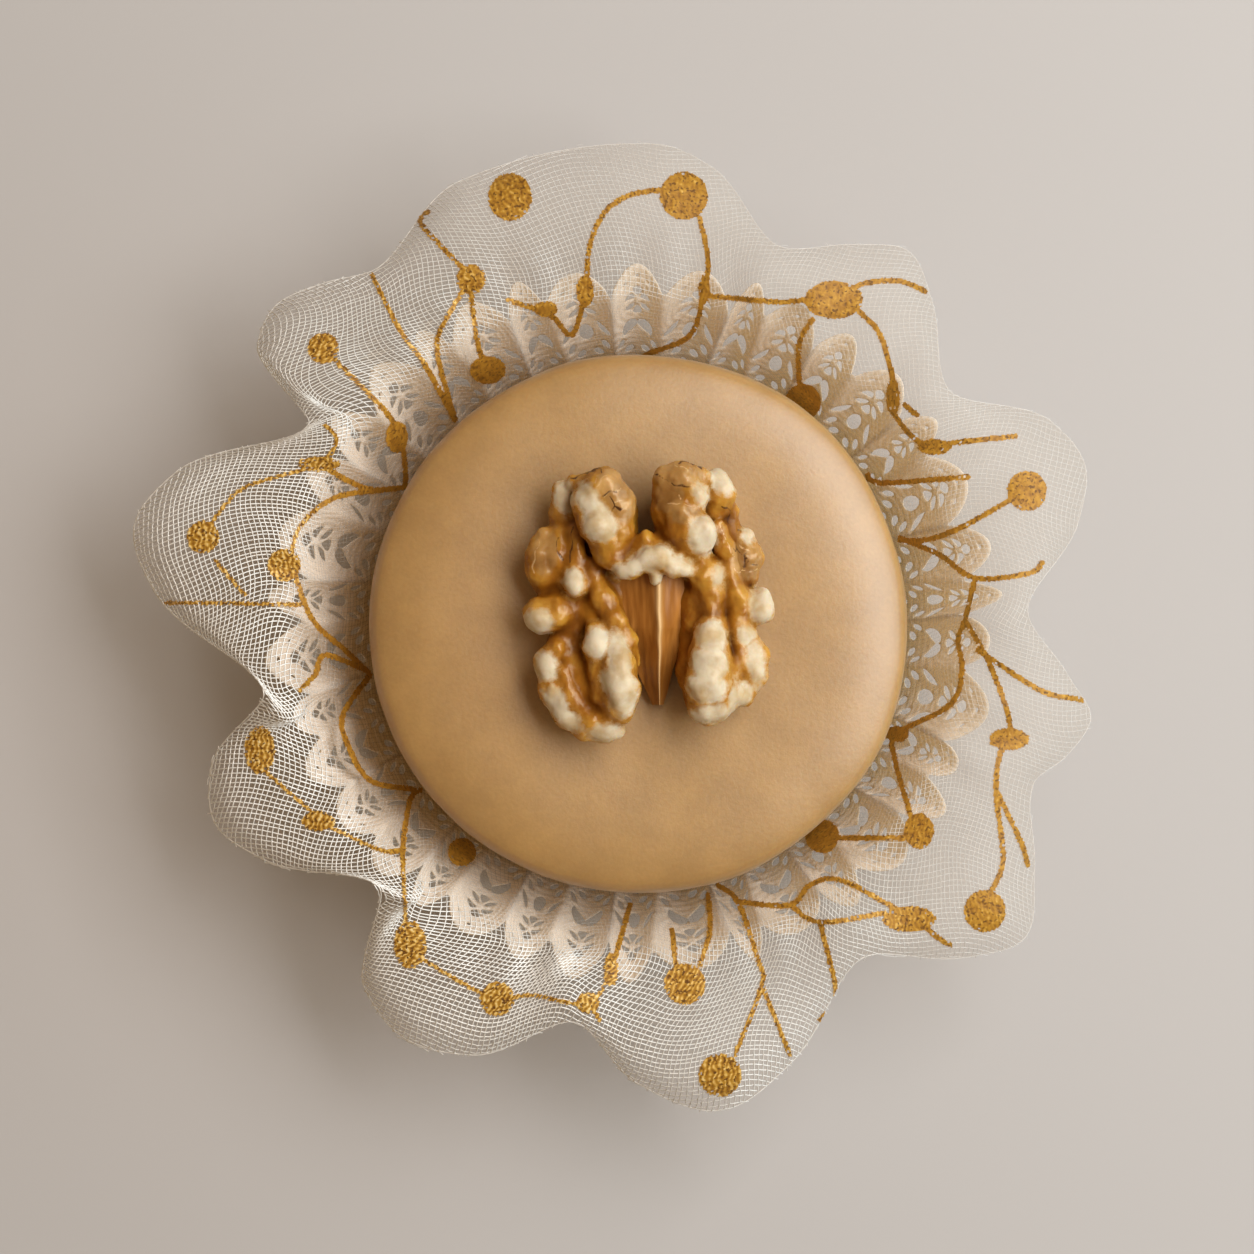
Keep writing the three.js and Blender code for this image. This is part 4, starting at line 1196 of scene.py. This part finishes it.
def surface_net(field):
    """The zero surface of a grid field as points in mm and quads that face outwards.

    Each cell that the surface crosses gets one point, at the mean of its edges' crossings."""
    filled = field < 0
    n = np.array(field.shape) - 1
    total = np.zeros((*n, 3))
    hits = np.zeros(n)
    for axis in range(3):
        others = [i for i in range(3) if i != axis]
        for p in (0, 1):
            for q in (0, 1):
                start = np.zeros(3, int)
                start[others] = p, q
                here, there = (
                    tuple(slice(s, s + m) for s, m in zip(start + step, n))
                    for step in (0 * start, np.eye(3, dtype=int)[axis])
                )
                f0, f1 = field[here], field[there]
                crossed = filled[here] != filled[there]
                t = np.where(crossed, f0 / np.where(crossed, f0 - f1, 1), 0)
                hits += crossed
                total[..., axis] += t
                total[..., others[0]] += crossed * p
                total[..., others[1]] += crossed * q
    cells = np.argwhere(hits > 0)
    index = np.full(n, -1)
    index[tuple(cells.T)] = np.arange(len(cells))
    points = (cells + total[tuple(cells.T)] / hits[tuple(cells.T)][:, None]) * VOXEL + WALNUT_LOW
    quads = []
    for axis in range(3):
        u, v = (axis + 1) % 3, (axis + 2) % 3
        ahead = np.roll(filled, -1, axis=axis) != filled
        spots = np.argwhere(ahead)
        spots = spots[(spots[:, axis] < n[axis]) & (spots[:, u] > 0) & (spots[:, v] > 0)]
        spots = spots[(spots[:, u] < n[u]) & (spots[:, v] < n[v])]
        du, dv = np.eye(3, dtype=int)[u], np.eye(3, dtype=int)[v]
        corners = (spots - du - dv, spots - dv, spots, spots - du)
        quad = np.stack([index[tuple(corner.T)] for corner in corners], axis=1)
        outwards = filled[tuple(spots.T)]
        quad[~outwards] = quad[~outwards][:, ::-1]
        quads.append(quad)
    return points, np.vstack(quads)


def sampled(grid, points):
    """Values of a grid field at points in mm, by trilinear interpolation."""
    at = (points - WALNUT_LOW) / VOXEL
    low = np.clip(np.floor(at).astype(int), 0, np.array(grid.shape) - 2)
    f = at - low
    total = 0.0
    for corner in np.ndindex(2, 2, 2):
        share = np.prod(np.where(np.array(corner) == 1, f, 1 - f), axis=1)
        total = total + share * grid[tuple((low + corner).T)]
    return total


def blurred(grid, reach):
    """The grid averaged over a box of the given reach in cells, three times over."""
    width = 2 * reach + 1
    for axis in (0, 1, 2) * 3:
        padding = [(0, 0)] * 3
        padding[axis] = (reach + 1, reach)
        sums = np.cumsum(np.pad(grid, padding, mode="edge"), axis=axis)
        upper = np.take(sums, np.arange(width, width + grid.shape[axis]), axis)
        grid = (upper - np.take(sums, np.arange(grid.shape[axis]), axis)) / width
    return grid


def patch_depth(points, patches):
    """How deep plan places lie in the nearest of a list of turned ellipses, in mm, if above 0."""
    best = np.full(len(points), -3.0)
    for x, y, a, b, turn in patches:
        dx, dy = points[:, 0] - x, points[:, 1] - y
        u = dx * math.cos(turn) + dy * math.sin(turn)
        v = dy * math.cos(turn) - dx * math.sin(turn)
        best = np.maximum(best, (1 - np.hypot(u / a, v / b)) * min(a, b))
    return best


def stroke_distance(points, strokes):
    """Plan distance to the nearest of a list of polylines, in mm, at most 3."""
    best = np.full(len(points), 3.0)
    for stroke in strokes:
        for first, last in zip(stroke[:-1], stroke[1:]):
            away = off_segment(points[:, :2], np.array(first), np.array(last))[0]
            best = np.minimum(best, away)
    return best


field = lobe_field()
kernel_points, kernel_faces = surface_net(field)
gradient = unit(np.stack([sampled(g, kernel_points) for g in np.gradient(field)], axis=1))
hollow = sampled(blurred((field < 0).astype(float), 3), kernel_points)
flesh = patch_depth(kernel_points, FLESH)
cap = patch_depth(kernel_points, CAPS)
bend = np.stack([soft_noise(kernel_points, 1.5, seed) for seed in (25, 26, 27)], axis=1)
crack_way = stroke_distance(kernel_points + STROKE_BEND * bend, CRACKS)
vein_way = stroke_distance(kernel_points + STROKE_BEND * bend, VEINS)
swelling = FLESH_SWELL * np.clip(flesh / 0.5, 0, 1) * (1 + 0.3 * soft_noise(kernel_points, 2.0, 24))
coarse = (1 - 0.7 * np.clip(flesh / 0.3, 0, 1)) * (1 - 0.75 * np.clip((hollow - 0.45) / 0.2, 0, 1))
rough = swelling + BROAD_BUMP[0] * soft_noise(kernel_points, *BROAD_BUMP[1:])
for rise, size, seed in FINE_BUMPS:
    rough += rise * coarse * soft_noise(kernel_points, size, seed)
kernel_points = kernel_points + gradient * rough[:, None] * np.clip(kernel_points[:, 2:], 0, 1)
kernel_points[:, 2] += WALNUT_REST

kernel_look, tree = material("walnut_kernel")
place = on_object(tree)
in_hollow, in_flesh, in_cap, off_crack, off_vein = (
    attribute(tree, name) for name in ("hollow", "flesh", "cap", "crack", "vein")
)
torn = grain(tree, place, 1100.0, 4.0, 0.6)[0]
stain = grain(tree, place, 420.0, 4.0)[0]
wrinkle = grain(tree, place, 1900.0, 3.0)[0]
torn_edge = sum_of(tree, in_flesh, torn, 1.3)
bare = mapped(tree, torn_edge, 0.36, 0.80)
thin = worked(tree, "MULTIPLY", mapped(tree, torn_edge, 0.0, 0.50), 0.6)
crack = mapped(tree, sum_of(tree, off_crack, torn, 0.16), 0.19, 0.11)
vein = mapped(tree, sum_of(tree, off_vein, torn, 0.12), 0.15, 0.09)
capped = mapped(tree, sum_of(tree, in_cap, torn, 0.8), 0.25, 0.6)
# Painted shade: the skin's and the caps' colour runs darker where a point lies deeper in a hollow
# between lobes, on top of the stain's real variation in tone.
stain_and_painted_shade = sum_of(tree, in_hollow, stain, 0.50)
colour = ramp(tree, stain_and_painted_shade, [
    (0.58, (0.46, 0.225, 0.028)), (0.72, (0.31, 0.115, 0.009)),
    (0.86, (0.18, 0.057, 0.005)), (1.00, (0.08, 0.022, 0.003)),
])
shell = ramp(tree, stain_and_painted_shade, [(0.52, (0.50, 0.275, 0.085)), (0.80, (0.24, 0.105, 0.024))])
pale = ramp(tree, stain, [(0.36, (0.47, 0.325, 0.165)), (0.58, (0.60, 0.495, 0.345))])
for share, layer in (
    (capped, shell), (vein, (0.55, 0.33, 0.14)), (crack, (0.07, 0.022, 0.006)),
    (thin, (0.50, 0.25, 0.05)), (bare, pale),
):
    colour = blend(tree, share, colour, layer)
height = sum_of(tree, sum_of(tree, wrinkle, bare, -0.9), crack, -0.9)
# The skin's highlights are also dimmed in the hollows, as painted shade.
deep = mapped(tree, in_hollow, 0.46, 0.62, 1.0, 0.10)
shine = worked(tree, "MULTIPLY", mapped(tree, bare, 0.0, 1.0, 0.50, 0.30), deep)
body = principled(
    tree,
    {
        "Base Color": colour, "Roughness": mapped(tree, bare, 0.0, 1.0, 0.27, 0.40),
        "Specular IOR Level": shine, "Specular Tint": (1.0, 0.88, 0.68, 1.0),
        "Normal": bump(tree, height, 0.20, 0.00015), "Subsurface Weight": 0.45,
        "Subsurface Radius": (1.2, 0.65, 0.3), "Subsurface Scale": 0.0012,
    },
)
surface(tree, body)

kernel = piece("walnut_kernel", kernel_points, kernel_faces, kernel_look)
for name, values in (
    ("hollow", hollow), ("flesh", flesh), ("cap", cap), ("crack", crack_way), ("vein", vein_way),
):
    give(kernel, name, values)


# Walnut's woody wall. The thin partition left between the two lobes: a tapered tent of brown
# fibres with a sharp pale crest, running from under the bridge to the notch at the kernel's end.
# A row of CREST is y, the middle's x, the top, the base, and the half widths left and right.
CREST = [
    (6.2, 1.9, 6.6, 4.5, 4.2, 3.8), (3.6, 2.0, 6.3, 4.2, 4.2, 3.8), (-0.4, 2.05, 5.7, 3.5, 3.5, 3.2),
    (-4.3, 2.1, 4.6, 2.3, 2.4, 1.4), (-8.0, 2.1, 2.9, 1.0, 0.7, 0.4),
]
CREST_STEPS, CREST_SIDES = 150, 40
GROOVE_DEPTH, WALL_THICK = 0.05, 0.9
RIDGE_RISE, RIDGE_WIDTH, PALE_WIDTH = 0.28, 0.05, 0.07


def woody_wall():
    """The partition as points in mm and faces, in closed rings from its wide end to its tip.

    A ring's top is a tent with hollow flanks and a narrow crest, its underside is flat. Fine
    grooves run along it."""
    table = np.array(CREST)
    y = np.linspace(table[0, 0], table[-1, 0], CREST_STEPS)
    middle, top, base, left, right = (
        np.interp(-y, -table[:, 0], column)[:, None] for column in table.T[1:]
    )
    u = np.linspace(-1, 1, CREST_SIDES)
    height = base + (top - base) * (1 - np.abs(u)) ** 1.4
    height = height + RIDGE_RISE * np.exp(-((u / RIDGE_WIDTH) ** 2))
    x = middle + np.where(u < 0, left, right) * u
    y = np.repeat(y[:, None], CREST_SIDES, axis=1)
    grooves = soft_noise(np.stack([x, 0.12 * y, 0 * x], axis=-1), 0.55, 31)
    height += GROOVE_DEPTH * grooves * (1 - np.exp(-((u / 0.08) ** 2)))
    x = x + 0.03 * soft_noise(np.stack([0 * x, y, height], axis=-1), 3.0, 32)
    upper = np.stack([x, y, height], axis=-1)
    lower = np.stack([x[:, ::-1], y, 0 * x + base - WALL_THICK], axis=-1)[:, 1:-1]
    ring = np.concatenate([upper, lower], axis=1)
    points = np.vstack([ring.reshape(-1, 3), ring[0].mean(axis=0), ring[-1].mean(axis=0)])
    return points + [0, 0, WALNUT_REST], lathe_faces(*ring.shape[:2])[:, ::-1]


woody_look, tree = material("walnut_wall")
along = node(tree, "ShaderNodeMapping", {"Vector": on_object(tree), "Scale": (1.0, 0.1, 0.4)})
streak, relief = grain(tree, along.outputs["Vector"], 1500.0, 4.0, strength=0.3, distance=0.0002)
tint = ramp(tree, streak, [(0.35, (0.29, 0.105, 0.015)), (0.65, (0.43, 0.175, 0.032))])
tint = blend(tree, attribute(tree, "crest"), tint, (0.68, 0.43, 0.19))
wood = {"Base Color": tint, "Roughness": 0.38, "Specular IOR Level": 0.3, "Normal": relief}
surface(tree, principled(tree, wood))

septum = piece("walnut_woody_wall", *woody_wall(), woody_look)
side_place = np.append(np.linspace(-1, 1, CREST_SIDES), np.ones(CREST_SIDES - 2))
crest = np.tile(np.exp(-((side_place / PALE_WIDTH) ** 2)), CREST_STEPS)
give(septum, "crest", np.append(crest, [0, 0]))
for nut in (kernel, septum):
    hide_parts("walnut_half")
    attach(nut, "root")


# Floor and light. A plain pale table top, a large soft window from the upper right and a little
# light from all round.
FLOOR_HALF = 1500.0
floor_look, tree = material("table_top")
plain = {"Base Color": (0.445, 0.41, 0.385, 1.0), "Roughness": 0.75, "Specular IOR Level": 0.2}
surface(tree, principled(tree, plain))
corners = FLOOR_HALF * np.array([[-1, -1, 0], [1, -1, 0], [1, 1, 0], [-1, 1, 0]])
floor = piece("table_top", corners, [[0, 1, 2, 3]], floor_look, smooth=False)


def window(name, azimuth, elevation, distance, width, height, power, colour):
    """A rectangular area light that faces the cookie, placed by its direction in degrees."""
    light = bpy.data.lights.new(name, "AREA")
    light.shape = "RECTANGLE"
    light.size = width * MM
    light.size_y = height * MM
    light.energy = power
    light.color = colour
    holder = bpy.data.objects.new(name, light)
    turn, rise = math.radians(azimuth), math.radians(elevation)
    flat = distance * math.cos(rise)
    away = (flat * math.cos(turn), flat * math.sin(turn), distance * math.sin(rise))
    holder.location = np.array(away) * MM
    holder.rotation_euler = (math.pi / 2 - rise, 0.0, turn + math.pi / 2)
    bpy.context.scene.collection.objects.link(holder)


window(
    "key", azimuth=22, elevation=56, distance=520, width=560, height=280,
    power=3.65, colour=(0.96, 0.98, 1.0),
)
window(
    "low_window", azimuth=8, elevation=24, distance=520, width=800, height=200,
    power=1.4, colour=(0.45, 0.78, 1.0),
)
world = bpy.data.worlds.new("soft_room")
bpy.context.scene.world = world
world.use_nodes = True
background = world.node_tree.nodes["Background"].inputs
background["Color"].default_value = (1.0, 0.72, 0.42, 1.0)
background["Strength"].default_value = 0.32
bpy.context.scene.view_settings.view_transform = "Standard"
